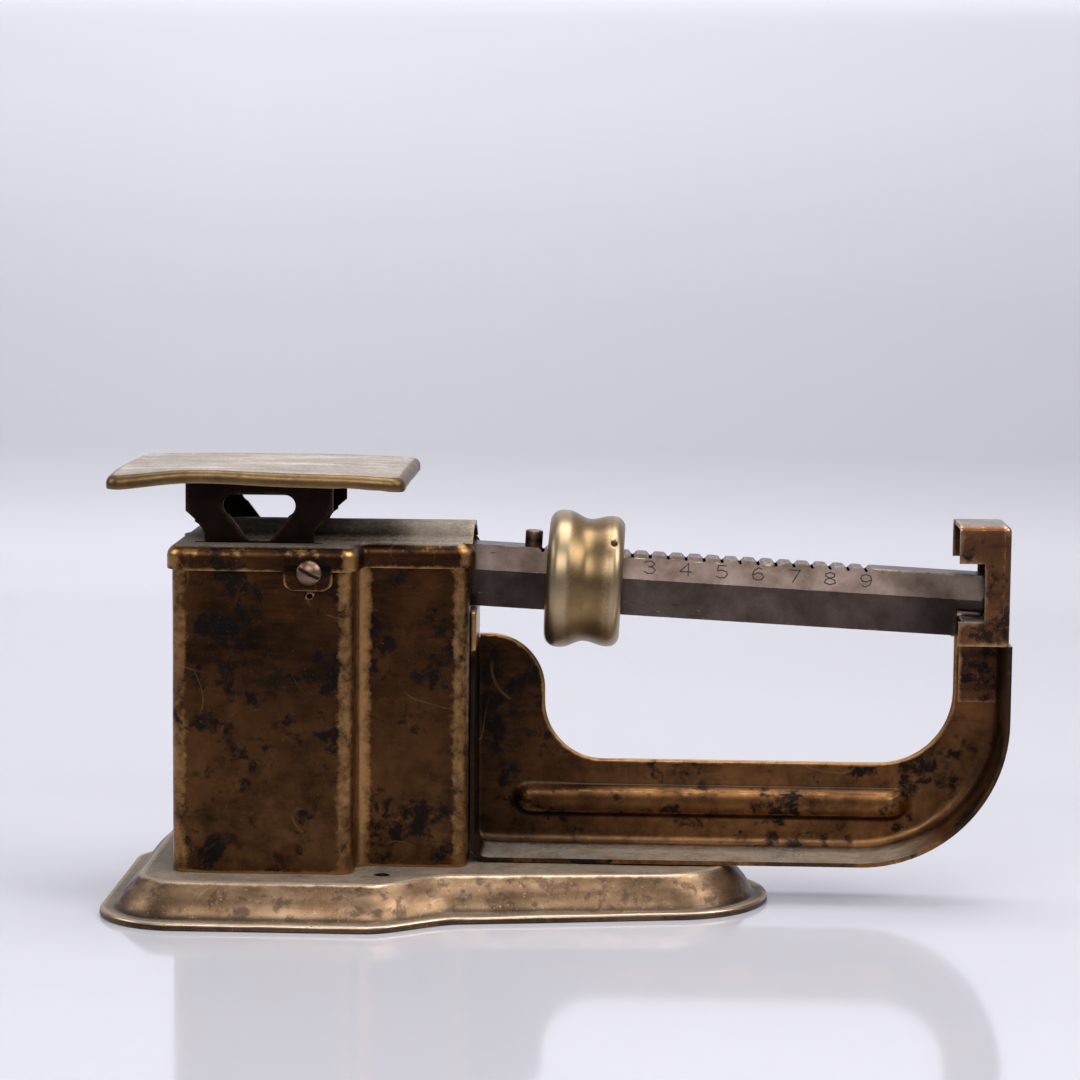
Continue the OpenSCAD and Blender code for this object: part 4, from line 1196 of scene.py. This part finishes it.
def build_stage():
    """A table that curves up into the backdrop, in one sweep."""
    near, far, wide, rise = -1500.0, 1100.0, 4000.0, 3000.0
    bend = 600.0
    profile = [(near, 0.0), (far - bend, 0.0)]
    profile += [(far - bend + bend * math.sin(a), bend - bend * math.cos(a))
                for a in (math.radians(90 * i / 16) for i in range(1, 17))]
    profile += [(far, rise)]
    rows = [[(x, y, z) for y, z in profile] for x in (-wide, wide)]
    obj = grid("table_and_backdrop", rows)
    n = Nodes("table_finish_and_painted_light")
    fine = n.noise(1.2, 2, 0.5, seed=3)
    # Painted light: the table lighter or darker with distance from the front.
    away = n.ramp(
        n.plus(n.times(n.position_part("Y"), 0.625), 0.4375),
        (0.0, 0.80), (0.384, 0.77), (0.44, 0.81), (0.513, 0.76), (0.6175, 0.88), (0.774, 1.0))
    # Painted light: the backdrop darker over its lower curve and lighter again higher up, as the light falls on
    # it.
    height = n.ramp(
        n.times(n.position_part("Z"), 3.3),
        (0.0, 0.94), (0.038, 0.88), (0.089, 0.745), (0.149, 0.64), (0.218, 0.655), (0.366, 0.705),
        (0.535, 0.835), (0.71, 0.92), (0.89, 0.955))
    # Painted shade: the far right of the backdrop darker.
    side = n.plus(n.times(n.position_part("X"), 2.0), 0.5)
    side = n.ramp(side, (0.1, 0.0), (0.95, 1.0))
    far = n.ramp(n.position_part("Y"), (0.10, 0.0), (0.45, 0.13))
    shade = n.minus(1.0, n.times(side, far))
    tint = n.tint(away, height)
    tint = n.tint(tint, shade)
    tint = n.tint(tint, (0.705, 0.70, 0.765))
    n.surface(tint, n.plus(0.07, n.times(fine, 0.06)), 0.0)
    n.shader.inputs["IOR"].default_value = 1.62
    obj.data.materials.append(n.material)
    return obj


def area_light(name, location, target, size, power, colour=(1, 1, 1), size_y=None):
    data = bpy.data.lights.new(name, "AREA")
    data.energy = power
    data.color = colour
    data.size = size
    if size_y:
        data.shape = "RECTANGLE"
        data.size_y = size_y
    obj = bpy.data.objects.new(name, data)
    bpy.context.scene.collection.objects.link(obj)
    obj.location = location
    obj.rotation_euler = (Vector(target) - Vector(location)).to_track_quat("-Z", "Y").to_euler()
    return obj


build_stage()
area_light("overhead", (0.15, 0.0, 1.1), (0.0, 0.0, 0.0), 0.8, 6.5, (1.0, 0.99, 0.98), 0.7)
area_light("right_above", (0.95, -0.35, 0.85), (0.0, 0.0, 0.05), 0.6, 8.0, (1.0, 0.99, 0.98))
area_light("left_above", (-1.05, -0.10, 0.62), (0.0, 0.0, 0.02), 0.6, 3.4, (0.99, 0.99, 1.0))
area_light("front_above", (-0.1, -1.15, 0.90), (0, 0, 0.05), 1.1, 9, (1.0, 0.99, 0.98), 0.6)
area_light("backdrop_light", (0.0, 0.3, 1.4), (0.0, 1.2, 0.2), 1.6, 10, (0.97, 0.98, 1.0), 0.6)

world = bpy.data.worlds.new("studio")
bpy.context.scene.world = world
world.use_nodes = True
world.node_tree.nodes["Background"].inputs["Color"].default_value = (0.80, 0.82, 0.90, 1)
world.node_tree.nodes["Background"].inputs["Strength"].default_value = 0.22

camera_data = bpy.data.cameras.new("camera")
camera = bpy.data.objects.new("camera", camera_data)
bpy.context.scene.collection.objects.link(camera)
camera_data.sensor_width = 36.0
camera_data.lens = 102.19
camera_data.clip_start = 0.01
camera_data.clip_end = 50
YAW, PITCH, ROLL = 0.0331, 0.1085, 0.010
camera.matrix_world = (
    Matrix.Translation(Vector((18.8, -699.4, 159.05)) * MM)
    @ Matrix.Rotation(YAW, 4, "Z")
    @ Matrix.Rotation(math.pi / 2 - PITCH, 4, "X")
    @ Matrix.Rotation(ROLL, 4, "Z")
)
bpy.context.scene.camera = camera
bpy.context.scene.view_settings.view_transform = "Standard"

bpy.context.view_layer.update()
